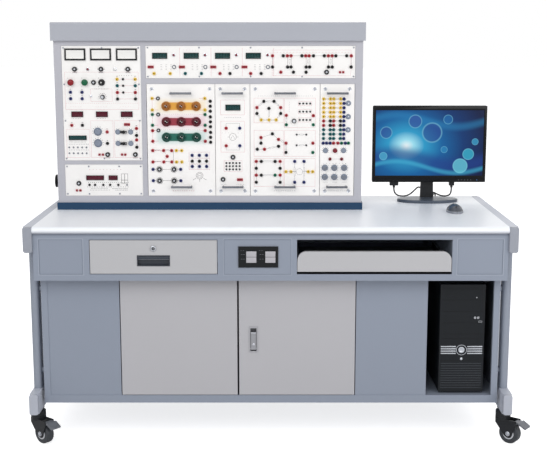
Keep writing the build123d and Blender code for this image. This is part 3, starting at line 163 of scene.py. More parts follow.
# %% [markdown]
# ## A short way to write shaders
#
# A shader is a sum of small nodes. Written as Python sums they are much easier to read, so one
# small class stands for a socket, and another for the finish that is being made. Adding or
# multiplying two sockets adds a Math node. Everything else goes through one method.

# %% A socket that takes part in sums
class Socket:
    """One output of a shader node, which takes part in Python sums."""

    def __init__(self, finish, output):
        self.finish = finish
        self.output = output

    def math(self, operation, first, second=0.0):
        return self.finish.node("ShaderNodeMath", {"operation": operation}, {0: first, 1: second})

    def __add__(self, other):
        return self.math("ADD", self, other)

    def __radd__(self, other):
        return self.math("ADD", other, self)

    def __sub__(self, other):
        return self.math("SUBTRACT", self, other)

    def __rsub__(self, other):
        return self.math("SUBTRACT", other, self)

    def __mul__(self, other):
        return self.math("MULTIPLY", self, other)

    def __rmul__(self, other):
        return self.math("MULTIPLY", other, self)

    def __truediv__(self, other):
        return self.math("DIVIDE", self, other)

    def __lt__(self, other):
        return self.math("LESS_THAN", self, other)

    def __gt__(self, other):
        return self.math("GREATER_THAN", self, other)

    def __abs__(self):
        return self.math("ABSOLUTE", self)


print("sums of sockets: + - * / < > and abs")

# %% [markdown]
# A finish is a material while it is made. Its methods are the few things that every finish here
# needs: noise, one coordinate, a soft patch, a distance, a mix of two colours and a bump.

# %% A finish and its nodes
class Finish:
    """A material under construction."""

    def __init__(self, name):
        self.material = bpy.data.materials.new(name)
        self.material.use_nodes = True
        self.tree = self.material.node_tree
        self.shader = self.tree.nodes["Principled BSDF"]
        self.place = self.node("ShaderNodeTexCoord", output="Object")

    def node(self, kind, settings=None, inputs=None, output=0):
        """A new node: its settings are set first, then its sockets get values or links."""
        made = self.tree.nodes.new(kind)
        for name, value in (settings or {}).items():
            if name == "stops":
                for stop, (position, colour) in zip(self.stops_of(made, len(value)), value):
                    stop.position = position
                    stop.color = colour
            else:
                setattr(made, name, value)
        for name, value in (inputs or {}).items():
            self.feed(made.inputs[name], value)
        return Socket(self, made.outputs[output])

    def stops_of(self, ramp, count):
        """The stops of a colour ramp, with new ones added up to the count."""
        elements = ramp.color_ramp.elements
        while len(elements) < count:
            elements.new(0.5)
        return elements

    def feed(self, target, value):
        """Give a socket a value, or link another socket to it."""
        if isinstance(value, Socket):
            self.tree.links.new(value.output, target)
        else:
            target.default_value = value

    def set(self, **values):
        """Set or link the shader's own sockets, with underscores for the spaces in their names."""
        for name, value in values.items():
            self.feed(self.shader.inputs[name.replace("_", " ")], value)

    def noise(self, scale, detail=3.0, stretch=(1, 1, 1)):
        """Soft random values from 0 to 1, so many features a metre."""
        place = self.node("ShaderNodeMapping", inputs={"Vector": self.place, "Scale": stretch})
        return self.node("ShaderNodeTexNoise", inputs={"Vector": place, "Scale": scale, "Detail": detail})

    def axis(self, name):
        """One coordinate of the surface point, in metres."""
        return self.node("ShaderNodeSeparateXYZ", inputs={0: self.place}, output=name)

    def patch(self, value, centre, width, soft):
        """One inside a stripe of this width, zero outside it, with soft edges."""
        inside = {1: width / 2 + soft, 2: width / 2 - soft}
        distance = abs(value - centre)
        settings = {"interpolation_type": "SMOOTHSTEP"}
        return self.node("ShaderNodeMapRange", settings, {0: distance, **inside})

    def length(self, across, up):
        """How far a point is from a centre, from its two offsets."""
        return self.node("ShaderNodeMath", {"operation": "SQRT"}, {0: across * across + up * up})

    def mix(self, factor, first, second):
        """A colour between two colours."""
        inputs = {0: factor, 6: first, 7: second}
        return self.node("ShaderNodeMix", {"data_type": "RGBA"}, inputs, output=2)

    def bump(self, height, depth):
        """A surface that follows the height, so many metres deep. Gives the finished material."""
        normal = self.node("ShaderNodeBump", inputs={"Height": height, "Distance": depth, "Strength": 1.0})
        self.set(Normal=normal)
        return self.material

    def peel(self, depth=0.00006):
        """The orange-peel skin that baked powder leaves."""
        return self.bump(self.noise(420.0, 2.0), depth)

    def grain(self, depth=0.00002):
        """The spark-eroded grain that a mould leaves on plastic."""
        return self.bump(self.noise(1500.0, 2.0), depth)


print("finish methods:", sum(not name.startswith("_") for name in vars(Finish)))

# %% [markdown]
# Colours are noted as web codes. A shader adds light, so it wants linear numbers, and each code is
# turned into them first.

# %% Colours from their codes
def paint(code, strength=1.0):
    """A colour from its web code, as the linear numbers that a shader reads."""
    parts = [int(code[k : k + 2], 16) / 255 for k in (1, 3, 5)]
    linear = [part / 12.92 if part <= 0.04045 else ((part + 0.055) / 1.055) ** 2.4 for part in parts]
    return (*[min(1.0, part * strength) for part in linear], 1.0)


print("mid grey is", round(paint("#808080")[0], 3), "to a shader")

# %% [markdown]
# ## Paints, plastics and metals
#
# Powder coat is sprayed as dry powder and baked, which leaves a fine orange-peel skin. Its colour
# hardly changes, but its gloss does, so noise moves the roughness and a shallow bump. Moulded
# plastic is smoother, with a fine spark-eroded grain.

# %% Paints and plastics
def powder_coat(name, colour, roughness=0.42, specular=0.5):
    """Baked powder paint with its orange-peel skin and a little dust in the low light."""
    finish = Finish(name)
    clouds = finish.noise(3.0, 4.0)
    finish.set(
        Base_Color=finish.mix(clouds * 0.5, paint(colour), paint(colour, 0.9)),
        Roughness=roughness + (clouds - 0.5) * 0.12,
        Specular_IOR_Level=specular,
    )
    return finish.peel()


def moulded(name, colour, roughness=0.35, grain=0.00002, coat=0.0, specular=0.5):
    """Moulded plastic with a fine grain and slightly uneven gloss."""
    finish = Finish(name)
    clouds = finish.noise(14.0, 3.0)
    finish.set(
        Base_Color=finish.mix(clouds * 0.6, paint(colour), paint(colour, 0.86)),
        Roughness=roughness + (clouds - 0.5) * 0.1,
        Coat_Weight=coat,
        Specular_IOR_Level=specular,
    )
    return finish.grain(grain)


def end_caps():
    """Satin plastic end caps. The lower pair sits nearer the pale floor and is painted a lighter tone, as
    painted light for the weaker light down there.
    """
    finish = Finish("cap_plastic")
    clouds = finish.noise(14.0, 3.0)
    upper = finish.mix(clouds * 0.6, paint("#9B9FA9"), paint("#8F939D"))
    # painted light: the lower caps get a lighter colour to make up for the weaker light near the floor
    lower = finish.mix(clouds * 0.6, paint("#B3B7C2"), paint("#A6AAB5"))
    finish.set(
        Base_Color=finish.mix(finish.axis("Z") < 0.4, upper, lower),
        Roughness=0.35 + (clouds - 0.5) * 0.1,
    )
    return finish.grain()


print("paints and plastics ready")

# %% [markdown]
# Metals show only through what they reflect, so their roughness carries all the detail. Rubber is
# dull and dusty, and laminate has the fine pebble of its pressing plate.

# %% Metals, rubber and laminate
def metal(name, colour, roughness=0.25, brushed=(1, 1, 1)):
    """Bare or plated metal, with brush marks where the stretch is uneven."""
    finish = Finish(name)
    marks = finish.noise(240.0, 3.0, brushed)
    finish.set(
        Base_Color=finish.mix(marks * 0.5, paint(colour), paint(colour, 0.85)),
        Metallic=1.0,
        Roughness=roughness + (marks - 0.5) * 0.16,
    )
    return finish.bump(marks, 0.00001)


def rubber(name, colour, roughness=0.7):
    """Rubber or soft vinyl, dusty in its low places."""
    finish = Finish(name)
    dust = finish.noise(60.0, 5.0)
    finish.set(
        Base_Color=finish.mix(dust * 0.5, paint(colour), paint(colour, 1.7)),
        Roughness=roughness + (dust - 0.5) * 0.2,
    )
    return finish.bump(finish.noise(900.0, 2.0), 0.00004)


def laminate(name, colour):
    """Pressed laminate with a fine pebble texture and faint clouds in its colour."""
    finish = Finish(name)
    clouds = finish.noise(2.0, 3.0)
    pebble = finish.noise(900.0, 2.0)
    finish.set(
        Base_Color=finish.mix(clouds * 0.6, paint(colour), paint(colour, 0.94)),
        Roughness=0.36 + (pebble - 0.5) * 0.2,
    )
    return finish.bump(pebble, 0.00003)


print("metals, rubber and laminate ready")

# %% [markdown]
# Every material slot of the CAD model gets its finish here. The hues were matched to the photograph
# in soft light: cool greys for the steel, a near-white laminate and muted reds.

# %% One finish for each slot
finishes = {
    "laminate": laminate("white_laminate", "#F7FAFF"),
    "rail_paint": powder_coat("rail_paint", "#C6CAD4"),
    "cap_plastic": end_caps(),
    "caster_black": powder_coat("caster_paint", "#1A1C20", 0.36, 0.35),
    "blue_grey_paint": powder_coat("blue_grey_paint", "#8E96A5"),
    "black_plastic": moulded("black_plastic", "#131518", 0.34, specular=0.25),
    "zinc": metal("zinc_plate", "#B9BCC2", 0.32),
    "light_paint": powder_coat("light_grey_paint", "#B9B9BC", 0.45),
    "dark_board": laminate("dark_board", "#3A3D42"),
    "chrome_trim": metal("satin_chrome", "#D9DBE0", 0.18),
    "navy_paint": powder_coat("navy_paint", "#20405F", 0.42, 0.25),
    "console_paint": powder_coat("console_paint", "#B9B9C1", 0.4),
    "panel_white": moulded("panel_white", "#FBF9F7", 0.4),
    "display_dark": moulded("display_window", "#1B2426", 0.12, 0.000004, 0.5),
    "terminal_plastic": moulded("red_terminal", "#A0303A", 0.3),
    "red_plastic": moulded("red_plastic", "#B4232B", 0.3),
    "green_plastic": moulded("green_plastic", "#1E8A5A", 0.3),
    "slate_plastic": moulded("slate_plastic", "#5F6977", 0.28, 0.00001, 0.3),
    "cable_sheath": rubber("cable_sheath", "#24262A", 0.5),
    "case_black": powder_coat("case_black", "#1B1E22", 0.42, 0.2),
    "silver_plastic": metal("silver_plastic", "#C4C8CE", 0.3),
    "wheel_black": rubber("wheel_tread", "#26282B", 0.55),
    "pedal_grey": moulded("pedal_grey", "#3D4148", 0.45),
}
print("finishes:", len(finishes))

# %% [markdown]
# The record of the CAD model names a material slot for each of its nodes. So the nodes can be
# dressed in one loop, and later cells only replace the finishes that need masks of their own.

# %% Dress the nodes of the frame
def dress(piece, material):
    """Give a piece one material all over."""
    piece.data.materials.clear()
    piece.data.materials.append(material)


slot_of = {entry["node"]: entry["material_slot"] for entry in frame["record"]["subparts"]}
for name, node in nodes.items():
    dress(node, finishes[slot_of[name]])
for cable in cables.values():
    dress(cable, finishes["cable_sheath"])
print("nodes dressed:", len(nodes))

# %% [markdown]
# ## Small round and square fittings
#
# Jacks, lamps, knobs and buttons are turned or moulded around one axis. Extruding a disc again and
# again, and scaling each new face, works like a lathe: the list of radii and heights is the
# profile. Each shape is made once, lying on the floor, and kept in a list of models.

# %% A lathe
models = []
smooth_angle = math.radians(35)


def start_fresh(*chosen):
    """Out of edit mode, with only the chosen pieces selected."""
    if bpy.context.object and bpy.context.object.mode != "OBJECT":
        bpy.ops.object.mode_set(mode="OBJECT")
    bpy.ops.object.select_all(action="DESELECT")
    for piece in chosen:
        piece.select_set(True)
    if chosen:
        bpy.context.view_layer.objects.active = chosen[0]


def turned(name, profile, materials, inner=0.0, sides=12):
    """A round piece from radii and heights in mm, with the second material inside the inner radius."""
    start_fresh()
    bpy.ops.mesh.primitive_circle_add(
        vertices=sides, radius=profile[0][0] / 1000, fill_type="NGON", location=(0, 0, profile[0][1] / 1000)
    )
    bpy.ops.object.transform_apply(location=True, rotation=False, scale=False)
    piece = bpy.context.object
    piece.name = name
    bpy.ops.object.mode_set(mode="EDIT")
    bpy.ops.mesh.select_all(action="SELECT")
    for (radius, height), (next_radius, next_height) in zip(profile, profile[1:]):
        rise = (next_height - height) / 1000
        bpy.ops.mesh.extrude_region_move(TRANSFORM_OT_translate={"value": (0, 0, rise)})
        share = next_radius / radius
        bpy.ops.transform.resize(value=(share, share, 1), center_override=(0, 0, next_height / 1000))
    bpy.ops.mesh.select_all(action="SELECT")
    bpy.ops.mesh.normals_make_consistent(inside=False)
    bpy.ops.object.mode_set(mode="OBJECT")
    for material in materials:
        piece.data.materials.append(material)
    if len(materials) > 1:
        for face in piece.data.polygons:
            if Vector(face.center[:2]).length < inner / 1000 and face.center.z > 0:
                face.material_index = 1
    bpy.ops.object.shade_smooth_by_angle(angle=smooth_angle)
    models.append(piece)
    return piece


print("lathe ready, smooth below", round(math.degrees(smooth_angle)), "degrees")

# %% [markdown]
# Displays, rockers, bars and louvres are boxes. A real one has a rim and soft edges: the top face is
# inset and pushed down for the rim, and a bevel rounds the edges, which then catch the light.

# %% A box with a rim
def select_top(piece):
    """In edit mode, select only the faces that look up."""
    bpy.ops.mesh.select_mode(type="FACE")
    bpy.ops.mesh.select_all(action="DESELECT")
    bpy.ops.object.mode_set(mode="OBJECT")
    for face in piece.data.polygons:
        face.select = face.normal.z > 0.9
    bpy.ops.object.mode_set(mode="EDIT")


def soften(piece, width, segments):
    """Bevel the sharp edges of the active piece, and shade the rest smooth."""
    bevel = piece.modifiers.new("edges", "BEVEL")
    bevel.width = width
    bevel.segments = segments
    bevel.limit_method = "ANGLE"
    bpy.ops.object.modifier_apply(modifier="edges")
    bpy.ops.object.shade_smooth_by_angle(angle=smooth_angle)


def moulded_box(name, size, materials, rim=0.0, depth=0.0, edge=0.4):
    """A box that lies on the floor, sizes in mm, with an optional sunk face inside a rim."""
    start_fresh()
    width, length, height = (value / 1000 for value in size)
    bpy.ops.mesh.primitive_cube_add(size=1, location=(0, 0, height / 2), scale=(width, length, height))
    bpy.ops.object.transform_apply(location=True, rotation=True, scale=True)
    piece = bpy.context.object
    piece.name = name
    for material in materials:
        piece.data.materials.append(material)
    if rim > 0:
        bpy.ops.object.mode_set(mode="EDIT")
        select_top(piece)
        bpy.ops.mesh.inset(thickness=rim / 1000)
        bpy.ops.mesh.extrude_region_move(TRANSFORM_OT_translate={"value": (0, 0, -depth / 1000)})
        bpy.ops.object.mode_set(mode="OBJECT")
        for face in piece.data.polygons:
            if face.select:
                face.material_index = len(materials) - 1
    soften(piece, edge / 1000, 2)
    models.append(piece)
    return piece


print("boxes ready")

# %% [markdown]
# A model's copies are stood up on a front panel, or turned to face backwards, and then joined into
# one piece that rides on a body. Points are given in millimetres from the panel's lower left corner,
# as on the drawing that such a panel is made from.

# %% Copies, and pieces from copies
plate_y = 0.019


def grid(columns, rows):
    """The points where columns and rows cross."""
    return [(u, w) for u in columns for w in rows]


def stand_up(model, origin, points, y=plate_y):
    """Copies of a model on a front panel."""
    copies = []
    for u, w in points:
        copy = model.copy()
        copy.data = model.data.copy()
        copy.location = (origin[0] + u / 1000, y, origin[1] + w / 1000)
        copy.rotation_euler = (math.radians(90), 0, 0)
        bpy.context.scene.collection.objects.link(copy)
        copies.append(copy)
    return copies


def stand_behind(model, origin, points, y):
    """Copies of a model that face the other way, on a rear face."""
    copies = stand_up(model, origin, points, y)
    for copy in copies:
        copy.rotation_euler = (math.radians(90), 0, math.pi)
    return copies


def placed(model, location, rotation):
    """One copy of a model, anywhere and turned freely."""
    copy = stand_up(model, (0, 0), [(0, 0)])[0]
    copy.location = location
    copy.rotation_euler = rotation
    return copy


def gather(name, parts, body, slot, *replaced):
    """Join parts into one piece at the origin that rides on a body."""
    start_fresh(*parts)
    if len(parts) > 1:
        bpy.ops.object.join()
    bpy.ops.object.transform_apply(location=True, rotation=True, scale=True)
    piece = bpy.context.object
    piece.name = name
    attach(piece, body)
    if replaced:
        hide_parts(*replaced)
    return piece


print("the front plates stand at", plate_y)

# %% [markdown]
# ## Colours of the fittings
#
# The jacks are colour coded: yellow, green and red for the three phases, black for neutral, blue
# for measuring. Their plastic is glossy. The inks of the prints and the tinted windows of the
# displays are the same plastic with another gloss.

# %% Fitting colours
jack_colours = {
    "red": "#B0303B",
    "black": "#1D1D1F",
    "yellow": "#EBC44F",
    "green": "#0E6B50",
    "teal": "#0F6166",
    "blue": "#27306C",
    "grey": "#7C8089",
    "dark_red": "#7E2430",
}
fitting = {
    name: moulded(f"fitting_{name}", code, 0.3, 0.00001, 0.0, 0.3) for name, code in jack_colours.items()
}
fitting["white"] = moulded("fitting_white", "#F2F1EE", 0.35)
fitting["pale"] = moulded("fitting_pale", "#C9CCD2", 0.35)
# painted shade: near black inside bores, ports, slots, vents and the fan opening, for their depth; it also
# colours the seams between the computer's covers
bore_dark = moulded("bore_dark", "#0A0A0B", 0.5, specular=0.2)
knob_silver = metal("knob_silver", "#C9CCD3", 0.24)
ink_red = moulded("ink_red", "#C9525F", 0.6)
ink_pink = moulded("ink_pink", "#E2939C", 0.6)
ink_grey = moulded("ink_grey", "#6A6B72", 0.6)
# ink_dark is the dark print, and also the near-black inside screw sockets and the lock's keyway, painted
# shade for their depth
ink_dark = moulded("ink_dark", "#2A2B2F", 0.6)
ink_teal = moulded("ink_teal", "#2A5E60", 0.4, specular=0.2)
window_teal = moulded("window_teal", "#10302F", 0.16, 0.000002, 0.0, 0.25)
window_red = moulded("window_red", "#4A1424", 0.16, 0.000002, 0.0, 0.25)
segment_red = moulded("segment_red", "#74293A", 0.3, specular=0.2)
print("fitting colours:", len(fitting))

# %% [markdown]
# The small models are turned from their profiles. A jack has a bore and a screw a socket, both near black as
# painted shade for their depth; a fuse holder has a pale cap in a black collar, and a key is a low button.

# %% Models of the fittings
jack_profile = [(6.3, 0), (6.3, 1.6), (5.9, 2.2), (5.6, 5.0), (5.0, 5.8), (2.3, 5.8), (2.1, 1.5)]
jack_models = {}
for name in jack_colours:
    jack_models[name] = turned(f"jack_{name}", jack_profile, [fitting[name], bore_dark], inner=2.35)
screw_profile = [(3.6, 0), (3.6, 1.0), (3.0, 1.8), (1.4, 1.8), (1.2, 1.0)]
screw_model = turned("screw", screw_profile, [knob_silver, ink_dark], 1.5)
fuse_profile = [(9.4, 0), (9.4, 2.0), (8.4, 5.4), (7.2, 6.2), (3.6, 6.2), (3.4, 5.0), (1.2, 5.0)]
fuse_model = turned("fuse_holder", fuse_profile, [fitting["black"], fitting["pale"]], 3.7, 18)
ring_profile = [(7.6, 0), (7.6, 2.4), (6.6, 3.4), (4.2, 3.4), (4.0, 2.0), (1.0, 2.0)]
ring_model = turned("light_ring", ring_profile, [fitting["grey"], fitting["white"]], 4.3, 16)
toggle_profile = [(4.6, 0), (4.6, 1.6), (2.8, 2), (1.7, 2.6), (2, 7), (2.8, 10.5), (2.4, 12), (1, 12.6)]
toggle_model = turned("toggle", toggle_profile, [knob_silver], sides=10)
key_profile = [(3.4, 0), (3.4, 2.0), (2.8, 3.0), (1.4, 3.2)]
small_key = turned("small_key", key_profile, [fitting["grey"]], sides=8)
dark_key = turned("dark_key", [(4.6, 0), (4.6, 2.8), (3.8, 4.0), (1.6, 4.3)], [fitting["black"]], sides=10)
slate_key = turned("slate_key", [(3.9, 0), (3.9, 2.2), (3.2, 3.2), (1.4, 3.5)], [ink_dark], sides=8)
square_fuse = moulded_box("square_fuse", (8, 8, 4), [fitting["red"], fitting["dark_red"]], 1.4, 0.8)
rocker_model = moulded_box("rocker", (22, 10, 4), [fitting["red"], fitting["dark_red"]], 1.8, 1.0, 0.6)
print("models:", len(models))

# %% [markdown]
# ## Printed lines
#
# Digits, scales and circuit diagrams are thin lines. A curve draws them: a run of points becomes a
# spline with a tiny round section, pressed flat, that stands a hair above the panel, so it throws no
# shadow of its own. It is turned into a mesh before it is joined to its panel's pieces.

# %% Lines from runs of points
def printed(name, origin, runs, material, width=0.7, y=plate_y):
    """Thin printed lines on a front panel. Each run is a list of points in mm."""
    ink = bpy.data.curves.new(name, "CURVE")
    ink.dimensions = "3D"
    ink.bevel_depth = width / 2000
    ink.bevel_resolution = 0
    for run in runs:
        spline = ink.splines.new("POLY")
        spline.points.add(len(run) - 1)
        for point, (u, w) in zip(spline.points, run):
            point.co = (u / 1000, w / 1000, 0, 1)
    ink.materials.append(material)
    drawing = bpy.data.objects.new(name, ink)
    bpy.context.scene.collection.objects.link(drawing)
    drawing.location = (origin[0], y, origin[1])
    drawing.rotation_euler = (math.radians(90), 0, 0)
    drawing.scale = (1, 1, 0.4)
    start_fresh(drawing)
    bpy.ops.object.convert(target="MESH")
    return bpy.context.object


print("lines ready")

# %% [markdown]
# ## Windows and digits
#
# A display is a dark window in a thin rim. Unlit segments still show faintly behind it, so each
# window gets a row of seven-segment eights.

# %% Displays
def digit_rows(left, low, width, height, count):
    """The runs of a row of seven-segment eights."""
    runs = []
    pitch = width / count
    for k in range(count):
        a = left + pitch * (k + 0.22)
        b = left + pitch * (k + 0.78)
        middle = low + height / 2
        high = low + height
        runs += [[(a, low), (b, low)], [(a, middle), (b, middle)], [(a, high), (b, high)]]
        runs += [[(a, low), (a, high)], [(b, low), (b, high)]]
    return runs


def displays(name, origin, centres, size, window, segments, count):
    """Windows with digits, at their centres on a panel."""
    width, height = size
    model = moulded_box(f"{name}_window", (width, height, 3.2), [fitting["black"], window], 1.2, 0.6, 0.3)
    parts = stand_up(model, origin, centres)
    runs = []
    for u, w in centres:
        runs += digit_rows(u - width * 0.42, w - height * 0.28, width * 0.84, height * 0.56, count)
    parts.append(printed(f"{name}_digits", origin, runs, segments, 1.1, plate_y - 0.00265))
    return parts


supply = (-0.777, 0.983)
timer = (-0.777, 0.849)
meters = (-0.465, 1.290)
red_set, teal_set = (window_red, segment_red), (window_teal, ink_teal)
window_parts = displays("supply", supply, [(53, 174), (145, 174), (238, 174)], (44, 21), *red_set, 4)
window_parts += displays("frequency", supply, [(52, 86)], (67, 17), *teal_set, 8)
window_parts += displays("clock", timer, [(113, 69)], (67, 18), *red_set, 6)
window_parts += displays("count", timer, [(181, 69)], (34, 18), *red_set, 3)
window_parts += displays("meter", meters, grid((53, 170, 286, 400), [83]), (56, 22), *teal_set, 4)
print("display parts:", len(window_parts))

# %% [markdown]
# The needle meters have a white face in a wide black rim, a scale and a needle. The scale is an arc
# about a pivot below the face, with short ticks outside it.

# %% Needle meters
def ticks(u, w, near, far, angles):
    """Short lines that point away from a centre."""
    return [[(u + r * math.cos(a), w + r * math.sin(a)) for r in (near, far)] for a in angles]


meter_model = moulded_box("needle_meter", (78, 44, 3.6), [fitting["black"], fitting["white"]], 6.2, 1.0, 0.5)
needle_places = [(51, 395), (146, 395), (242, 395)]
window_parts += stand_up(meter_model, supply, needle_places)
scale_runs = []
needle_runs = []
for u, w in needle_places:
    pivot = w - 24.5
    arc = [math.radians(angle) for angle in range(130, 49, -8)]
    scale_runs.append([(u + 34 * math.cos(a), pivot + 34 * math.sin(a)) for a in arc])
    scale_runs += ticks(u, pivot, 34.0, 36.5, arc)
    needle_runs.append([(u - 6.0, w - 14.0), (u - 20.0, w + 6.0)])
face_y = plate_y - 0.0025
window_parts.append(printed("meter_scales", supply, scale_runs, fitting["pale"], 0.5, face_y))
window_parts.append(printed("meter_needles", supply, needle_runs, ink_grey, 0.6, face_y))
gather("panel_windows", window_parts, "bench", "display_dark", "panel_displays")
print("windows:", len(window_parts))

# %% [markdown]
# ## Fittings of the fixed panels
#
# Everything here is a copy of a model. The jacks of a panel are a plan that gives each colour its
# points, and the other fittings are rows of a model, a panel and its points.

# %% Jacks of the fixed panels
def set_out(origin, plan):
    """Copies of the jack models: a plan gives a colour its list of points."""
    parts = []
    for colour, points in plan.items():
        parts += stand_up(jack_models[colour], origin, points)
    return parts


supply_plan = {
    "yellow": [(205, 304), (272, 304)],
    "teal": [(205, 280), (272, 280)],
    "red": [(205, 255), (272, 255), (31, 133), (163, 108), (273, 121), (273, 78)],
    "black": [(205, 231), (272, 231), (71, 133), (163, 65), (273, 95), (273, 51)],
    "blue": [(30, 256), (73, 256), (30, 232), (73, 232)],
}
meter_plan = {
    "yellow": [(31, 18), (91, 18)],
    "teal": [(147, 18), (207, 18)],
    "red": [(276, 18), (390, 18), (471, 83), (526, 83), (540, 83), (594, 83), (607, 83)]
    + [(678, 83), (692, 83), (763, 83), (502, 23)],
    "black": [(313, 18), (429, 18), (511, 83), (580, 83), (623, 83), (663, 83), (706, 83), (746, 83)]
    + grid((471, 527, 540, 596, 609, 679, 693, 763), [42])
    + [(549, 23), (596, 23)],
}
fixed_parts = set_out(supply, supply_plan) + set_out(meters, meter_plan)
print("jacks:", len(fixed_parts))

# %% [markdown]
# Dials are blue-grey skirts with a metal cap, knobs are black, and the small lamps have a silver
# bezel round a dark red or a clear lens.

# %% Dials, knobs and lamps
dial_blue = moulded("dial_blue", "#7D8797", 0.34, specular=0.3)
dial_cap = metal("dial_cap", "#8D95A4", 0.38)
knob_profile = [(9.0, 0), (9.0, 1.5), (7.4, 2.4), (6.8, 11.0), (6.0, 12.0), (5.6, 12.0), (5.2, 11.6)]
knob_black = turned("knob_black", knob_profile, [fitting["black"], fitting["pale"]], 5.3, 16)
dial_profile = [(15.5, 0), (15.5, 1.4), (11.5, 2.0), (10.8, 8.0), (9.6, 9.0), (5.0, 9.0), (4.6, 8.0)]
dial_model = turned("scale_dial", dial_profile, [dial_blue, dial_cap], 10.9, 24)
small_dial_profile = [(10, 0), (10, 1.2), (8.0, 1.6), (7.6, 2.4), (2, 2.4)]
small_dial = turned("small_dial", small_dial_profile, [dial_blue, dial_cap], 6.0, 20)
lamp_profile = [(6.5, 0), (6.5, 1.5), (4.8, 2.2), (4.6, 4.0), (3.2, 5.6), (1.2, 6.0)]
lamp_dark = turned("lamp_dark", lamp_profile, [knob_silver, fitting["dark_red"]], 4.9, 14)
lamp_clear = turned("lamp_clear", lamp_profile, [knob_silver, fitting["white"]], 4.9, 14)
print("models so far:", len(models))

# %% [markdown]
# The meter panel repeats a block of fittings four times at one pitch, so its points are steps from
# the first block. All parts are then joined into one piece that stays with the bench.

# %% Fittings of the fixed panels
labelled_fuses = [(48, 341), (146, 341), (246, 341), (163, 23), (267, 23)]
meter_pitch = 116
meter_steps = range(0, 4 * meter_pitch, meter_pitch)
for model, origin, points in (
    (fuse_model, supply, labelled_fuses + [(117, 292)]),
    (fuse_model, timer, [(51, 48)]),
    (fuse_model, meters, [(672, 23)]),
    (lamp_dark, supply, [(97, 341)]),
    (lamp_clear, supply, [(198, 341)]),
    (dial_model, supply, grid([128], (109, 66))),
    (small_dial, supply, grid((203, 251), (108, 65))),
    (knob_black, supply, [(149, 238)]),
    (toggle_model, supply, [(106, 242)]),
    (ring_model, meters, [(106 + step, 42) for step in meter_steps]),
    (rocker_model, meters, [(19 + step, 42) for step in meter_steps]),
    (rocker_model, supply, [(238, 136)]),
    (square_fuse, supply, grid((132, 145, 217, 229), [23])),
    (square_fuse, timer, grid((43, 56), [21])),
    (square_fuse, meters, grid((722, 734), [23])),
    (dark_key, timer, grid((91, 112, 143, 169, 200), [42])),
    (small_key, timer, [(233, 42)]),
    (small_key, supply, grid([19 + 16.2 * k for k in range(5)], (50, 28))),
    (dark_key, supply, grid([227], (304, 280, 255))),
    (lamp_dark, meters, [(105 + step, 86) for step in meter_steps]),
    (screw_model, supply, grid((8, 150, 286), (8, 419)) + grid((8, 286), (150, 285))),
    (screw_model, timer, grid((8, 90, 205, 286), (8, 112))),
    (screw_model, meters, grid(range(8, 773, 191), (7, 113))),
):
    fixed_parts += stand_up(model, origin, points)
gather("fixed_terminals", fixed_parts, "bench", "terminal_plastic", "panel_terminals")
print("fixed fittings:", len(fixed_parts))

# %% [markdown]
# ## Printed diagrams of the fixed panels
#
# The panels are printed with fine pink and grey circuit lines. Frames are outlines, and rows of
# dashes keep the rhythm of the print where a label would be.

# %% Outlines and rows of dashes
def outline(left, low, right, high):
    """A printed rectangle."""
    return [(left, low), (right, low), (right, high), (left, high), (left, low)]


def dashes(left, right, w, dash=4.0, pitch=7.0):
    """A dashed line, or a row of plain marks where a label would be."""
    count = int((right - left) / pitch) + 1
    return [[(left + pitch * k, w), (left + pitch * k + dash, w)] for k in range(count)]


def rows_of_dashes(*rows):
    """Several dashed lines, each given as the numbers of one."""
    return [dash for row in rows for dash in dashes(*row)]


print("dashes in a row of 70 mm:", len(dashes(0, 70, 0)))

# %% Prints of the supply panel and the timer
pink_runs = [outline(105, 222, 185, 268), outline(10, 192, 284, 330), outline(102, 12, 185, 150)]
pink_runs += [outline(190, 12, 284, 150), outline(10, 12, 96, 118)]
pink_runs += dashes(12, 278, 215, 4, 8) + [[(205, w), (272, w)] for w in (304, 280, 255, 231)]
grey_runs = []
for start in (28, 122, 214):
    pink_runs += dashes(start, start + 45, 202, 2.5, 9.5)
    grey_runs += dashes(start + 4, start + 36, 158, 2.0, 6.0)
dial_angles = [math.radians(200 - 27.5 * k) for k in range(9)]
for u, w, near, far in ((149, 238, 12, 15), (128, 109, 18, 21), (128, 66, 18, 21)):
    grey_runs += ticks(u, w, near, far, dial_angles)
for u, w in grid((203, 251), (108, 65)):
    grey_runs += ticks(u, w, 11.5, 14, (0.5, 1.2, 1.9, 2.6))
grey_runs += rows_of_dashes((212, 262, 318, 2.0, 9.0), (120, 168, 268, 3.0, 6.0))
grey_runs += [[(u - 14, 341), (u - 9, 341)] for u in (48, 146, 246)]
grey_runs += [[(u + 9, 341), (u + 14, 341)] for u in (48, 146, 246)]
timer_runs = [outline(212, 48, 236, 84), [(212, 60), (236, 60)], [(224, 48), (224, 84)]]
timer_runs += rows_of_dashes((86, 236, 51, 2.4, 7.5), (176, 234, 28, 3.0, 5.0), (96, 160, 29, 3.0, 5.5))
timer_runs += rows_of_dashes((92, 168, 22, 3.0, 6.0), (188, 230, 22, 4.0, 6.0), (82, 236, 34, 3.0, 9.0))
label_runs = []
for points in supply_plan.values():
    label_runs += [[(u - 3.0, w + 11), (u + 3.0, w + 11)] for u, w in points]
label_runs += [[(u - 9, w - 13), (u + 9, w - 13)] for u, w in labelled_fuses]
label_runs += rows_of_dashes((18, 92, 40, 3.2, 6.4), (18, 92, 62, 3.2, 6.4), (20, 84, 70, 3.0, 5.4))
label_runs += [[(u - 13, w), (u - 10, w)] for u, w in grid((33, 85, 147), (308, 276))]
prints = [
    printed("supply_labels", supply, label_runs, ink_grey, 1.6),
    printed("supply_pink", supply, pink_runs, ink_pink, 0.8),
    printed("supply_grey", supply, grey_runs, ink_dark, 1.5),
    printed("timer_grey", timer, timer_runs, ink_dark, 1.5),
    printed("timer_pink", timer, dashes(92, 214, 100, 2.5, 13.0), ink_red, 1.2),
]
print("prints:", len(prints))

# %% [markdown]
# The meter panel repeats one block four times: a frame line, a row of marks above the display, and
# three columns of short strokes beside the rocker. Bridges of links join the jacks to the right.

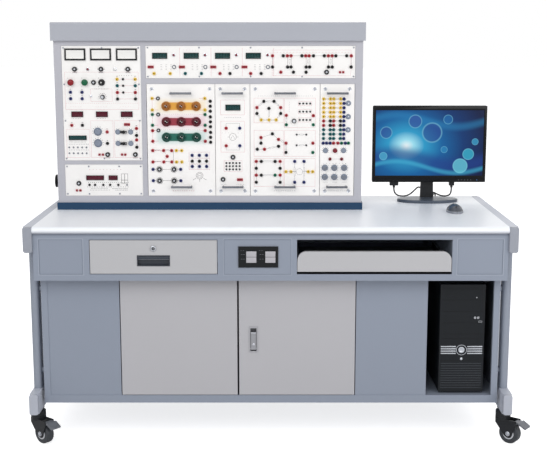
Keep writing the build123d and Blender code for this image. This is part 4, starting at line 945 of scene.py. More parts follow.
# %% Prints of the meter panel
meter_runs = [[(11 + meter_pitch * k, 8), (11 + meter_pitch * k, 112)] for k in range(1, 5)]
meter_runs += [outline(470, 10, 762, 104)] + dashes(474, 756, 96, 6, 12)
links = []
for step in meter_steps:
    left = 11 + step
    meter_runs += dashes(left + 14, left + 70, 104, 2.5, 11.0)
    for u, w in grid((44, 62, 80), (50, 44, 38, 32)):
        links.append([(left + u, w), (left + u + 6, w)])
for left, right in ((511, 580), (580, 663), (663, 746)):
    links += [[(left + 16, 83), (left + 16, 42)], [(left + 30, 83), (left + 30, 42)]]
    links += [outline(left + 21, 56, left + 26, 70)]
links += [[(471, 83), (471, 42)], [(763, 83), (763, 42)], [(706, 83), (763, 83)], [(526, 83), (763, 83)]]
prints.append(printed("meter_pink", meters, meter_runs, ink_pink, 0.8))
prints.append(printed("meter_links", meters, links, ink_dark, 0.8))
gather("fixed_prints", prints, "bench", "panel_white")
print("prints on the fixed panels:", len(prints))

# %% [markdown]
# ## The four plug-in modules
#
# Each module is a white plate with jacks, lamps or knobs, and it slides out with everything on it.
# A material on a CAD node can tell its parts apart by their place: on these nodes only the handles
# stand in front of the plate, and only the housing lies behind it. Masks on the Y coordinate give
# the handles bare metal and the housing grey paint, without any change to the mesh.

# %% Module plates
plate_back = 0.0225
handle_front = 0.0186


def module_finish(name, bands):
    """White plate, steel handles and grey housing. Each band is a soft patch of print on the plate."""
    finish = Finish(name)
    y = finish.axis("Y")
    handles = y < handle_front
    housing = y > plate_back
    clouds = finish.noise(14.0, 3.0)
    colour = finish.mix(clouds * 0.5, paint("#FBF9F7"), paint("#F3F0EE"))
    for centre, size, soft, code in bands:
        across = finish.patch(finish.axis("X"), centre[0], size[0], soft)
        up = finish.patch(finish.axis("Z"), centre[1], size[1], soft)
        colour = finish.mix(across * up, colour, paint(code))
    colour = finish.mix(housing, colour, paint("#B4B6BE"))
    brushed = finish.noise(300.0, 3.0, (0.06, 1, 1))
    steel = finish.mix(brushed, paint("#84878E"), paint("#5E6168"))
    finish.set(
        Base_Color=finish.mix(handles, colour, steel),
        Metallic=handles,
        Roughness=0.4 - handles * 0.12 + (clouds - 0.5) * 0.08,
    )
    return finish.grain()


lamp_origin = (-0.4634, 0.849)
meter_origin = (-0.2078, 0.849)
circuit_origin = (-0.0772, 0.849)
component_origin = (0.1844, 0.849)
lamp_rows = (338, 280, 222)
lamp_columns = (72, 128, 184)
halos = ((0.186, 0.046), 0.014, ("#F6EAD2", "#F0D9DE", "#D2E2DF"))
stripes = ((0.122, 0.029), 0.002, ("#DFA038", "#95293C", "#006152"))
lamp_bands = []
for size, soft, inks in (halos, stripes):
    for w, ink in zip(lamp_rows, inks):
        centre = (lamp_origin[0] + lamp_columns[1] / 1000, lamp_origin[1] + w / 1000)
        lamp_bands.append((centre, size, soft, ink))
dress(nodes["lamp_module"], module_finish("lamp_plate", lamp_bands))
plain_plate = module_finish("module_plate", [])
for name in ("meter_module", "circuit_module", "component_module"):
    dress(nodes[name], plain_plate)
print("lamp bands:", len(lamp_bands))

# %% [markdown]
# ## The signal lamps
#
# Nine large lamps sit in three coloured bands. Each is a ring in the lamp's colour with a domed lens. An
# unlit lens looks deep and dark with small glints, so it gets a dark core that is painted shade for its
# depth, fine ribs, only a thin clear coat and a faint painted glow.

# %% Finish of a lens
def lens_finish(name, bright, deep):
    """A glossy lens with fine ribs, painted paler where the light gathers, with a faint painted glow although
    the lamp is unlit.
    """
    finish = Finish(f"lens_{name}")
    ribs = finish.node(
        "ShaderNodeTexWave",
        {"wave_type": "BANDS", "bands_direction": "DIAGONAL"},
        {"Vector": finish.place, "Scale": 260.0, "Distortion": 1.0},
        output="Fac",
    )
    finish.set(
        # painted light: the ribs move the colour between bright and deep, as light gathering in them would
        Base_Color=finish.mix(ribs * 0.45, paint(bright), paint(deep)),
        Roughness=0.1 + ribs * 0.06,
        Coat_Weight=0.2,
        Specular_IOR_Level=0.25,
        # painted glow: a faint emission in the lens's bright colour, although the lamp is unlit
        Emission_Color=paint(bright),
        Emission_Strength=0.12,
    )
    return finish.bump(ribs, 0.0003)


lens_colours = {
    "amber": ("#A5662A", "#5A3010", "#B9782C"),
    "ruby": ("#5A1222", "#2A0810", "#6A1628"),
    "emerald": ("#084238", "#052622", "#075245"),
}
print("lens colours:", len(lens_colours))

# %% [markdown]
# Each lamp is four models: the ring, the ribbed lens, a dark core at its crown that is painted shade for the
# lens's depth, and two white glints that are painted reflections of the room.

# %% Nine lamps
lens_profile = [(13.6, 0), (13.6, 6.0), (12.6, 8.6), (10.4, 11.0), (7.0, 12.8), (3.4, 13.6), (0.8, 13.9)]
lamp_ring_profile = [(18, 0), (18, 3.0), (17.2, 4.2), (14.6, 5.0), (13.8, 4.4), (13.7, 2.0)]
lens_core_profile = [(6.6, 12.6), (6.6, 13.4), (5.6, 14.1), (1.0, 14.3)]
# painted reflections: two small white glints on each lens
glint = turned("glint", [(1.5, 0), (1.5, 0.4), (0.9, 0.7)], [fitting["white"]], sides=10)
glint_steps = ((-2.6, 2.4), (3.0, -1.0))
glint_y = plate_y - 0.0141
module_parts = []
for (name, (bright, deep, rim)), w in zip(lens_colours.items(), lamp_rows):
    lens = turned(f"lens_{name}", lens_profile, [lens_finish(name, bright, deep)], sides=28)
    ring_plastic = moulded(f"ring_{name}", rim, 0.3, specular=0.3)
    # painted shade: the dark core stands for the depth of the lens
    lens_core_shade = moulded(f"core_{name}", deep, 0.4, specular=0.12)
    lamp_ring = turned(f"ring_{name}", lamp_ring_profile, [ring_plastic], sides=28)
    core = turned(f"core_{name}", lens_core_profile, [lens_core_shade], sides=18)
    for model in (lamp_ring, lens, core):
        module_parts += stand_up(model, lamp_origin, grid(lamp_columns, [w]))
    glints = [(u + step, w + rise) for u in lamp_columns for step, rise in glint_steps]
    module_parts += stand_up(glint, lamp_origin, glints, glint_y)
print("lamp pieces:", len(module_parts))

# %% [markdown]
# Round the lamps sit the jacks of the three phases, fuse holders and small locks, and a large screw
# holds each corner of the plate.

# %% Fittings of the lamp module
small_lock_profile = [(7.6, 0), (7.6, 2.0), (6.6, 4.4), (3.4, 4.6), (3.2, 3.6)]
small_lock = turned("small_lock", small_lock_profile, [fitting["black"], fitting["pale"]], 3.5, 16)
corner_profile = [(6.8, 0), (6.8, 1.0), (5.8, 1.6), (4.6, 1.2), (4.2, 2.4), (1.6, 2.6), (1.4, 1.4)]
corner_screw = turned("corner_screw", corner_profile, [knob_silver, ink_dark], 1.7, 18)
lamp_plan = {
    "yellow": [(20, 367), (217, 367), (20, 324), (217, 324), (108, 172), (128, 172), (108, 129), (128, 129)],
    "green": [(20, 307), (217, 307), (20, 267), (217, 267)],
    "red": [(20, 247), (217, 247), (20, 207), (217, 207), (19, 172), (60, 172), (90, 172)]
    + [(19, 129), (60, 129), (90, 129), (73, 150)],
    "black": [(237, w + step) for w in lamp_rows for step in (18.5, 0, -18.5)]
    + grid((167, 194, 221), [132]),
    "blue": grid((19, 123), (101, 58)) + grid((167, 194, 221), (154, 112)),
}
module_parts += set_out(lamp_origin, lamp_plan)
module_parts += stand_up(fuse_model, lamp_origin, grid((43, 98), (101, 58)))
module_parts += stand_up(small_lock, lamp_origin, grid([42], (367, 307, 248)))
module_parts += stand_up(corner_screw, lamp_origin, grid((19, 235), (19, 402)))
print("lamp module parts:", len(module_parts))

# %% [markdown]
# The print shows what the jacks connect: coils, fuses and a small motor. Each sign is a short
# function that returns a run of points, and every module ends with the same step, which draws its
# prints and joins everything into the piece that slides out with the plate.

# %% Print of the lamp module
def coil(left, w, turns=4, pitch=6.0):
    """A winding as a row of half circles, the sign for a coil on a circuit diagram."""
    run = []
    for k in range(turns):
        for step in range(7):
            a = math.pi * (1 - step / 6)
            middle = left + pitch * (k + 0.5)
            run.append((middle + pitch / 2 * math.cos(a), w + pitch / 2 * math.sin(a)))
    return run


def ring(u, w, radius, sides=24):
    """A printed circle."""
    angles = [2 * math.pi * k / sides for k in range(sides + 1)]
    return [(u + radius * math.cos(a), w + radius * math.sin(a)) for a in angles]


def finish_module(body, origin, parts, *prints):
    """Draw the prints, each a name, its runs, ink and width, and join all parts into one piece."""
    for name, runs, ink, width in prints:
        parts.append(printed(name, origin, runs, ink, width))
    gather(f"{body}_set", parts, body, "terminal_plastic", f"{body}_fittings")
    print(body, "set:", len(parts))


pink = [[(20, 324), (20, 367)], [(20, 267), (20, 307)], [(20, 207), (20, 247)]]
pink += [[(u, w), (u + 22, w)] for u, w in grid((20, 196), (367, 324, 307, 267, 247, 207))]
pink += [[(19, w), (60, w)] for w in (172, 129)] + [[(60, 172), (73, 150), (60, 129)]]
pink += [[(108, w), (128, w)] for w in (172, 129)] + [outline(155, 100, 233, 166)]
pink += [[(155, 121), (233, 121)], [(155, 143), (233, 143)]]
dark = [coil(24, 172), coil(24, 129), coil(64, 172, 3), coil(64, 129, 3), [(96, 172), (96, 129)]]
dark += [ring(u, w, 12) for u, w in grid((43, 98), (101, 58))]
dark += [[(left, w), (right, w)] for left, right in ((24, 31), (55, 86), (110, 118)) for w in (101, 58)]
dark += [ring(194, 77, 13), ring(194, 77, 9)]
dark += [[(181, 68), (168, 60)], [(207, 68), (220, 60)], [(194, 64), (194, 54)]]
dark += [[(190, 73), (190, 81), (194, 76), (198, 81), (198, 73)]]
rows = rows_of_dashes((92, 172, 19, 5.0, 8.5), (58, 200, 308, 2.4, 8.0), (58, 200, 250, 2.4, 8.0))
finish_module(
    "lamp_module",
    lamp_origin,
    module_parts,
    ("lamp_pink", pink, ink_pink, 0.9),
    ("lamp_dark", dark, ink_dark, 1.1),
    ("lamp_rows", rows, ink_red, 1.0),
)

# %% [markdown]
# ## The meter module
#
# A narrow module with one display, four jacks, fifteen small keys and a rocker switch.

# %% The meter module
module_parts = displays("module", meter_origin, [(66, 333)], (56, 22), *teal_set, 4)
module_parts += set_out(meter_origin, {"red": [(40, 256), (40, 190)], "blue": [(91, 256), (91, 190)]})
module_parts += stand_up(fuse_model, meter_origin, [(65, 147), (27, 63)])
module_parts += stand_up(slate_key, meter_origin, grid([40 + 12.5 * k for k in range(5)], (125, 113, 101)))
module_parts += stand_up(rocker_model, meter_origin, [(91, 62)])
module_parts += stand_up(corner_screw, meter_origin, grid((19, 110), (19, 402)))
dark = [ring(65, 223, 13), [(40, 262), (40, 274), (91, 274), (91, 262)]]
dark += [[(40, 184), (40, 174), (91, 174), (91, 184)]]
dark += [[(58, 217), (65, 230), (72, 217)], [(45, 223), (52, 223)], [(78, 223), (86, 223)]]
pink = [outline(20, 306, 109, 361), outline(20, 166, 109, 282), outline(31, 92, 99, 134)]
rows = rows_of_dashes((34, 94, 296, 3.4, 6.5), (24, 100, 238, 2.2, 12.0))
rows += rows_of_dashes((18, 40, 44, 3.0, 6.0), (78, 102, 44, 3.0, 6.0))
finish_module(
    "meter_module",
    meter_origin,
    module_parts,
    ("meter_dark", dark, ink_dark, 0.9),
    ("meter_pink_lines", pink, ink_pink, 0.9),
    ("meter_rows", rows, ink_grey, 1.0),
)

# %% [markdown]
# ## The circuit module
#
# Its jacks sit at the corners of printed circuits: bridges of resistors above, and an amplifier
# chain below. The lines are only decoration here, so they follow the jacks that they join.

# %% Fittings of the circuit module
circuit_plan = {
    "black": [(51, 356), (89, 356), (70, 330), (25, 311), (114, 311), (83, 235), (40, 200), (106, 188)]
    + [(26, 177), (134, 165), (41, 131), (93, 131), (22, 105), (112, 105), (41, 79), (22, 52), (112, 52)],
    "red": [(25, 333), (114, 333), (135, 304), (236, 303), (40, 221), (106, 214), (53, 177), (134, 200)]
    + [(235, 200), (22, 131), (112, 131), (22, 79), (112, 79)],
    "yellow": [(41, 287), (70, 287), (97, 287), (134, 92), (153, 92), (218, 92), (235, 92)],
    "green": [(135, 269), (236, 269), (235, 165), (93, 79)],
    "blue": [(167, 131), (202, 131), (167, 52), (202, 52)],
}
module_parts = set_out(circuit_origin, circuit_plan)
module_parts += stand_up(slate_key, circuit_origin, grid(range(185, 225, 13), (348, 318, 287)))
module_parts += stand_up(slate_key, circuit_origin, grid((174, 210), (232, 192)))
module_parts += stand_up(knob_black, circuit_origin, [(164, 283)])
module_parts += stand_up(corner_screw, circuit_origin, grid((19, 241), (19, 402)))
print("circuit module parts:", len(module_parts))

# %% [markdown]
# A resistor is drawn as an open rectangle in the line between two jacks, so each is just a pair of
# points. Coils, rings, frames and dashes come from the same functions as before.

# %% Print of the circuit module
def resistor(a, b, share=0.4, half=2.2):
    """A line between two points with a resistor's open rectangle at its middle."""
    (ax, ay), (bx, by) = a, b
    length = math.hypot(bx - ax, by - ay)
    along = ((bx - ax) / length, (by - ay) / length)
    side = (-along[1] * half, along[0] * half)
    near = (length * (1 - share) / 2, length * (1 + share) / 2)
    ends = [(ax + along[0] * d, ay + along[1] * d) for d in near]
    corners = [
        (ends[0][0] + side[0], ends[0][1] + side[1]),
        (ends[1][0] + side[0], ends[1][1] + side[1]),
        (ends[1][0] - side[0], ends[1][1] - side[1]),
        (ends[0][0] - side[0], ends[0][1] - side[1]),
    ]
    return [[a, ends[0]], corners + [corners[0]], [ends[1], b]]


bridge = [((51, 356), (89, 356)), ((51, 356), (25, 333)), ((89, 356), (114, 333)), ((25, 311), (41, 287))]
bridge += [((114, 311), (97, 287)), ((41, 287), (70, 287)), ((70, 287), (97, 287)), ((70, 330), (70, 287))]
chain = [((40, 221), (40, 200)), ((53, 177), (106, 188)), ((106, 214), (134, 200)), ((22, 131), (112, 131))]
chain += [((22, 79), (112, 79)), ((167, 131), (167, 52)), ((202, 131), (202, 52)), ((135, 304), (135, 269))]
chain += [((134, 200), (134, 165)), ((174, 192), (210, 192)), ((174, 232), (210, 232))]
dark = [run for a, b in bridge + chain for run in resistor(a, b)]
dark += [[(25, 333), (25, 311)], [(114, 333), (114, 311)], [(26, 177), (53, 177)]]
dark += [[(40, 221), (83, 235), (106, 214)]]
dark += [[(22, 52), (22, 131)], [(112, 52), (112, 131)], [(134, 92), (153, 92)], [(218, 92), (235, 92)]]
dark += [coil(156, 92, 2), coil(204, 92, 2), ring(185, 92, 12)]
dark += [[(153, 92), (173, 92)], [(197, 92), (218, 92)]]
pink = [outline(14, 276, 124, 368), outline(128, 258, 244, 368), outline(14, 150, 124, 248)]
pink += [outline(128, 150, 244, 248), outline(14, 36, 124, 142), outline(128, 36, 244, 142)]
pink += [outline(180, w, 229, w + 16) for w in (340, 310, 279)]
rows = rows_of_dashes((30, 110, 376, 2.6, 7.0), (140, 236, 376, 2.6, 7.0), (88, 172, 19, 5.0, 8.5))
rows += [[(146, w), (146, w + 3)] for w in range(316, 357, 7)]
finish_module(
    "circuit_module",
    circuit_origin,
    module_parts,
    ("circuit_dark", dark, ink_grey, 0.9),
    ("circuit_pink", pink, ink_pink, 0.9),
    ("circuit_rows", rows, ink_grey, 1.0),
)

# %% [markdown]
# ## The component module
#
# Ten rows of jacks hold resistors and diodes. Six knobs with silver skirts turn the variable
# resistors below them, and each has a printed scale.

# %% Fittings of the component module
row_heights = [365 - 16.4 * k for k in range(10)]
jack_columns = (13, 38, 51, 76)
component_plan = {
    "blue": grid([89], row_heights) + grid((12, 25, 38, 95), [200]),
    "yellow": grid(jack_columns, row_heights[:5]),
    "teal": grid(jack_columns, row_heights[7:]),
    "red": grid((13, 51), row_heights[5:7]) + [(51, 200), (67, 200)],
    "black": grid((38, 76), row_heights[5:7]),
    "green": [(81, 200), (107, 200)],
    "dark_red": [(38, 140), (82, 140)],
}
module_parts = set_out(component_origin, component_plan)
wide_profile = [(12, 0), (12, 1.4), (10.4, 2.4), (9.6, 3.0), (9.0, 11.6), (8.0, 13.4), (6.6, 13.8), (6.2, 13)]
wide_knob = turned("wide_knob", wide_profile, [dial_blue, fitting["grey"]], 7.0, 22)
dark_knob = turned("dark_red_knob", knob_profile, [fitting["dark_red"]], sides=16)
wide_places = grid((19, 55, 92), (107, 72))
toggle_places = grid([105], (349, 299, 250))
module_parts += stand_up(wide_knob, component_origin, wide_places)
module_parts += stand_up(small_dial, component_origin, [(21, 172), (89, 172)])
module_parts += stand_up(dark_knob, component_origin, [(57, 172)])
module_parts += stand_up(small_dial, component_origin, toggle_places)
module_parts += stand_up(toggle_model, component_origin, toggle_places)
module_parts += stand_up(corner_screw, component_origin, grid((19, 109), (19, 402)))
print("component module parts:", len(module_parts))

# %% [markdown]
# Each row of jacks has two resistors between them, and short strokes make a scale round each knob.

# %% Print of the component module
dark = []
for w in row_heights:
    dark += resistor((13, w), (38, w)) + resistor((51, w), (76, w))
dark += [[(12, 200), (38, 200)], [(51, 200), (67, 200)], [(81, 200), (107, 200)], [(38, 140), (82, 140)]]
scales = []
for u, w in wide_places:
    scales += ticks(u, w, 13.6, 16.2, [math.radians(215 - 36 * k) for k in range(8)])
for u in (21, 89):
    scales += ticks(u, 172, 11.0, 14.0, [math.radians(210 - 30 * k) for k in range(9)])
rows = rows_of_dashes((30, 96, 384, 3.0, 7.0), (24, 104, 124, 3.0, 12.0), (26, 100, 19, 4.0, 7.5))
rows += rows_of_dashes((12, 30, 52, 2.4, 5.0), (48, 66, 52, 2.4, 5.0), (84, 102, 52, 2.4, 5.0))
finish_module(
    "component_module",
    component_origin,
    module_parts,
    ("component_dark", dark, ink_grey, 0.8),
    ("component_scales", scales, ink_dark, 1.2),
    ("component_rows", rows, ink_grey, 1.0),
)

# %% [markdown]
# ## The controls that move
#
# Five controls of the supply panel turn or press. The stop button is a red mushroom over a pale
# collar, and the start button is a green one: the same profile, turned in two colours.

# %% Stop and start buttons
button_profile = [(6.4, 0), (6.4, 2.6), (11, 3.6), (12, 5.6), (11.8, 8.0), (10, 10.4), (6.6, 11.6), (1, 12)]
button_y = plate_y - 0.004
stop_red = moulded("stop_red", "#8E1A24", 0.26, 0.00001, 0.0, 0.3)
start_green = moulded("start_green", "#0B5F3E", 0.26, 0.00001, 0.0, 0.3)
for name, u, material, slot in (
    ("stop_button", 33, stop_red, "red_plastic"),
    ("start_button", 85, start_green, "green_plastic"),
):
    cap = turned(f"{name}_model", button_profile, [material], sides=28)
    gather(f"{name}_cap", stand_up(cap, supply, [(u, 292)], button_y), name, slot, name)
print("buttons stand at", round(button_y, 4))

# %% [markdown]
# The key switch is a black barrel with a flat grip across it and a white dot on the grip.

# %% Key switch
barrel_profile = [(12.5, 0), (12.5, 3.0), (11.6, 4.4), (8.6, 5.0), (8.2, 7.6), (7.4, 8.2), (1.0, 8.2)]
barrel = turned("key_barrel", barrel_profile, [fitting["black"]], sides=26)
key_grip = moulded_box("key_grip", (6.4, 20.0, 15.8), [fitting["black"]], 1.2, 0.5, 0.8)
key_y = plate_y - 0.0005
key_dot = turned("key_dot", [(2.6, 0), (2.6, 0.5), (1.8, 0.8)], [fitting["white"]], sides=14)
key_place = [(147, 292)]
key_parts = stand_up(barrel, supply, key_place, key_y) + stand_up(key_grip, supply, key_place, key_y)
key_parts += stand_up(key_dot, supply, key_place, key_y - 0.0155)
gather("key_switch_set", key_parts, "key_switch", "black_plastic", "key_switch")
print("key switch parts:", len(key_parts))

# %% [markdown]
# The two pointer knobs are a hub and a bar, with a white line that points at their scale.

# %% Pointer knobs
hub_profile = [(6.3, 0), (6.3, 9.6), (5.4, 11.0), (0.8, 11.0)]
pointer_hub = turned("pointer_hub", hub_profile, [fitting["black"]], sides=20)
pointer_bar = moulded_box("pointer_bar", (24, 9, 8.8), [fitting["black"]], 1.6, 0.3, 1.2)
pointer_line = moulded_box("pointer_line", (8.5, 1.4, 0.5), [fitting["white"]], edge=0.1)
pointer_y = plate_y - 0.0025
for name, w in (("coarse_knob", 108), ("fine_knob", 65)):
    parts = stand_up(pointer_hub, supply, [(225, w)], pointer_y)
    parts += stand_up(pointer_bar, supply, [(225, w)], pointer_y)
    parts += stand_up(pointer_line, supply, [(232, w)], pointer_y - 0.0086)
    gather(f"{name}_set", parts, name, "black_plastic", name)
print("pointer knobs stand at", round(pointer_y, 4))

# %% [markdown]
# A spool-shaped knob turns on the console's left side. Its profile goes out, in to a waist and out
# again, and the copy is laid over so that its axis points sideways.

# %% Knob on the console's side
spool_profile = [(24, 0.5), (25, 1.6), (25, 5.2), (23.6, 6.5), (14, 8), (12, 10.5), (12, 17.5), (14, 20)]
spool_profile += [(23.6, 21.5), (25, 22.8), (25, 26.2), (24, 27.4), (7, 27.5), (6.4, 26)]
spool = turned("side_spool", spool_profile, [fitting["black"], knob_silver], 6.6, 40)
side_place = (-0.805, 0.120, 0.893)
side_spool = placed(spool, side_place, (0, math.radians(-90), 0))
gather("side_knob_spool", [side_spool], "side_knob", "black_plastic", "side_knob")
print("side knob at", side_place)

# %% [markdown]
# ## The monitor
#
# The CAD head gives the size, the tilt and the case behind the screen. The picture is painted by the
# head's own material, inside a mask on X and Z: a cool blue field with a bright glow, three soft
# waves and round lights. All of it comes from distances and sines, so there is no image.

# %% Picture on the screen
screen_left, screen_low = 0.411, 0.903
screen_width, screen_height = 0.423, 0.257


def screen_finish():
    """Black plastic, with a lit picture inside the screen's edges."""
    finish = Finish("monitor_head_finish")
    u = (finish.axis("X") - screen_left) / screen_height
    v = (finish.axis("Z") - screen_low) / screen_height
    aspect = screen_width / screen_height
    inside = (u > 0.0) * (u < aspect) * (v > 0.0) * (v < 1.0) * (finish.axis("Y") < 0.207)

    def reach(centre_u, centre_v, squeeze=1.0):
        across, up = u - centre_u, (v - centre_v) * squeeze
        return finish.length(across, up)

    glow = reach(0.47, 0.46, 1.25)
    stops = [
        (0.0, paint("#F2FDFF")),
        (0.09, paint("#9FE2F4")),
        (0.22, paint("#2C9CCB")),
        (0.44, paint("#0F62A0")),
        (0.70, paint("#0B3872")),
        (1.0, paint("#0A1A44")),
    ]
    picture = finish.node("ShaderNodeValToRGB", {"stops": stops}, {0: glow * 0.8})
    swell = finish.node("ShaderNodeMath", {"operation": "SINE"}, {0: u * 3.4 + 0.5})
    waves = [(0.24, 0.20, "#1C3F8C", 0.7), (0.13, 0.06, "#46B9DD", 0.5), (0.84, 0.10, "#2A8CC4", 0.4)]
    for height, width, code, strength in waves:
        band = finish.patch(v - swell * 0.09, height, width, width * 0.45)
        picture = finish.mix(band * strength, picture, paint(code))
    lights = [(1.42, 0.33, 0.085, "#3FC0DD"), (1.30, 0.15, 0.11, "#6FD6E8"), (1.52, 0.52, 0.05, "#3FA9D6")]
    lights += [(0.86, 0.66, 0.15, "#27408F"), (0.60, 0.83, 0.10, "#33469A"), (0.16, 0.66, 0.09, "#2B3F93")]
    lights += [(0.12, 0.30, 0.06, "#54B7DA"), (1.05, 0.40, 0.05, "#2E8CC2"), (1.10, 0.86, 0.07, "#1E6FB0")]
    for centre_u, centre_v, radius, code in lights:
        distance = reach(centre_u, centre_v)
        disc = finish.patch(distance, 0.0, radius * 2, radius * 0.10)
        ring = finish.patch(distance, radius * 0.97, radius * 0.10, radius * 0.08)
        picture = finish.mix(disc * 0.62, picture, paint(code))
        picture = finish.mix(ring * 0.5, picture, paint("#8ADCEF"))
    case = finish.mix(finish.noise(14.0, 3.0) * 0.5, paint("#17181B"), paint("#0E0F11"))
    finish.set(
        Base_Color=finish.mix(inside, case, paint("#05070A")),
        Roughness=0.24 - inside * 0.06,
        Specular_IOR_Level=0.2,
        Emission_Color=finish.mix(inside, (0, 0, 0, 1), picture),
        Emission_Strength=0.92,
    )
    return finish.bump(finish.noise(1200.0, 2.0), 0.000008)


dress(nodes["monitor_head"], screen_finish())
print("picture", screen_width, "by", screen_height)

# %% [markdown]
# Round the screen stands a thin raised frame of glossy black plastic. It is a flat rectangle with a
# window: an inset makes the rim, the middle face is deleted, and an extrusion gives the frame its
# thickness. The chin below the window is taller than the other three sides.

# %% Front frame
gloss_black = moulded("gloss_black", "#0D0E11", 0.2, 0.000004, 0.0, 0.2)
frame_middle = (0.6225, 0.2052, 1.0275)
frame_width, frame_height, rim_width = 0.446, 0.300, 0.0115
window_width, window_height, window_rise = 0.4232, 0.2572, 0.004
frame_depth = 0.0020
start_fresh()
bpy.ops.mesh.primitive_plane_add(size=1, location=frame_middle, rotation=(math.radians(90), 0, 0))
front_frame = bpy.context.object
front_frame.name = "monitor_frame"
bpy.ops.transform.resize(value=(frame_width, 1, frame_height))
bpy.ops.object.transform_apply(location=True, rotation=True, scale=True)
bpy.ops.object.mode_set(mode="EDIT")
bpy.ops.mesh.select_all(action="SELECT")
bpy.ops.mesh.inset(thickness=rim_width)
share_across = window_width / (frame_width - 2 * rim_width)
share_up = window_height / (frame_height - 2 * rim_width)
bpy.ops.transform.resize(value=(share_across, 1, share_up), center_override=frame_middle)
bpy.ops.transform.translate(value=(0, 0, window_rise))
bpy.ops.mesh.delete(type="FACE")
bpy.ops.mesh.select_all(action="SELECT")
bpy.ops.mesh.extrude_region_move(TRANSFORM_OT_translate={"value": (0, -frame_depth, 0)})
bpy.ops.mesh.select_all(action="SELECT")
bpy.ops.mesh.normals_make_consistent(inside=False)
bpy.ops.object.mode_set(mode="OBJECT")
soften(front_frame, 0.0009, 3)
dress(front_frame, gloss_black)
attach(front_frame, "monitor")
print("frame faces", len(front_frame.data.polygons))

# %% [markdown]
# The chin carries five touch marks and a small blue lamp.

# %% Keys and lamp of the monitor
led_blue = Finish("lamp_blue")
led_blue.set(
    Base_Color=led_blue.mix(led_blue.noise(900.0, 2.0) * 0.5, paint("#4D7FC4"), paint("#3E6AA8")),
    Roughness=0.2,
    Emission_Color=paint("#6FA4E8"),
    Emission_Strength=0.6,
)
touch_mark = moulded_box("touch_mark", (4.2, 1.6, 0.3), [ink_grey], edge=0.1)
power_lamp = moulded_box("power_lamp", (2.2, 2.2, 0.5), [led_blue.material], edge=0.2)
chin_origin, chin_y = (0.6225, 0.877), 0.20325
head_parts = stand_up(touch_mark, chin_origin, grid(range(118, 167, 12), [9]), chin_y)
head_parts += stand_up(power_lamp, chin_origin, [(190, 9)], chin_y)
gather("monitor_keys", head_parts, "monitor", "black_plastic")
print("parts on the chin:", len(head_parts))

# %% [markdown]
# The back is seen from behind the bench, so it gets two columns of vents and the screws of a wall
# mount. The middle of the case stands further back than its corners.

# %% Vents and screws of the monitor
vent_bar = moulded_box("vent_bar", (120, 2.4, 1.4), [bore_dark, gloss_black], 0.5, 0.8, 0.3)
back_screw_profile = [(4.0, 0), (4.0, 1.2), (3.4, 1.9), (1.6, 1.9), (1.4, 0.9)]
back_screw = turned("back_screw", back_screw_profile, [knob_silver, ink_dark], 1.7)
head_middle = (0.6225, 1.0275)
middle_y, corner_y = 0.238, 0.225
rear_parts = stand_behind(vent_bar, head_middle, grid((-62, 62), range(88, 57, -6)), middle_y)
rear_parts += stand_behind(back_screw, head_middle, grid((-50, 50), (-62, 70)), middle_y)
rear_parts += stand_behind(back_screw, head_middle, grid((-205, 205), (-132, 132)), corner_y)
gather("monitor_back_parts", rear_parts, "monitor", "black_plastic")
print("parts on the back:", len(rear_parts))

# %% [markdown]
# ## Stand and mouse
#
# The stand is one CAD solid with a matt black neck and a glossy slate foot, so a mask on height
# splits its colour.

# %% Stand
stand_finish = Finish("monitor_stand_finish")
neck = stand_finish.axis("Z") > 0.8098
mottle = stand_finish.noise(14.0, 3.0)
slate = stand_finish.mix(mottle * 0.5, paint("#4C5562"), paint("#414A57"))
stand_finish.set(
    Base_Color=stand_finish.mix(neck, slate, paint("#111317")),
    Roughness=0.30 + neck * 0.08 + (mottle - 0.5) * 0.06,
    Specular_IOR_Level=0.35,
)
dress(nodes["monitor_stand"], stand_finish.grain(0.000008))
dress(nodes["cable_plugs"], moulded("plug_black", "#15171B", 0.4, specular=0.25))
print("stand and plugs dressed")

# %% [markdown]
# The mouse is a soft shape that CAD gives only roughly. A sphere is cut flat below, then its crown
# is pulled back and its nose down with proportional editing, as fingers would push clay.

# %% Shape of the mouse
mouse_low = Vector((0.688, -0.042, 0.797))
start_fresh()
bpy.ops.mesh.primitive_uv_sphere_add(
    segments=48, ring_count=28, radius=1, location=mouse_low, scale=(0.0308, 0.0556, 0.0300)
)
mouse = bpy.context.object
mouse.name = "mouse_body"
bpy.ops.object.transform_apply(location=True, rotation=True, scale=True)
bpy.ops.object.mode_set(mode="EDIT")
bpy.ops.mesh.select_all(action="SELECT")
bpy.ops.mesh.bisect(plane_co=mouse_low, plane_no=(0, 0, 1), use_fill=True, clear_inner=True)
bpy.ops.mesh.select_mode(type="VERT")
pushes = [((0, 0.004, 0.030), (0, 0.010, 0.0), 0.030), ((0, -0.046, 0.014), (0, 0, -0.003), 0.022)]
for place, move, reach in pushes:
    bpy.ops.mesh.select_all(action="DESELECT")
    bpy.ops.object.mode_set(mode="OBJECT")
    target = mouse_low + Vector(place)
    nearest = min(mouse.data.vertices, key=lambda vertex: (vertex.co - target).length)
    nearest.select = True
    bpy.ops.object.mode_set(mode="EDIT")
    bpy.ops.transform.translate(
        value=move, use_proportional_edit=True, proportional_edit_falloff="SMOOTH", proportional_size=reach
    )
bpy.ops.mesh.select_all(action="SELECT")
bpy.ops.mesh.normals_make_consistent(inside=False)
bpy.ops.object.mode_set(mode="OBJECT")
bpy.ops.object.shade_smooth_by_angle(angle=math.radians(50))
print("mouse height", round(max(v.co.z for v in mouse.data.vertices) - mouse_low.z, 4))
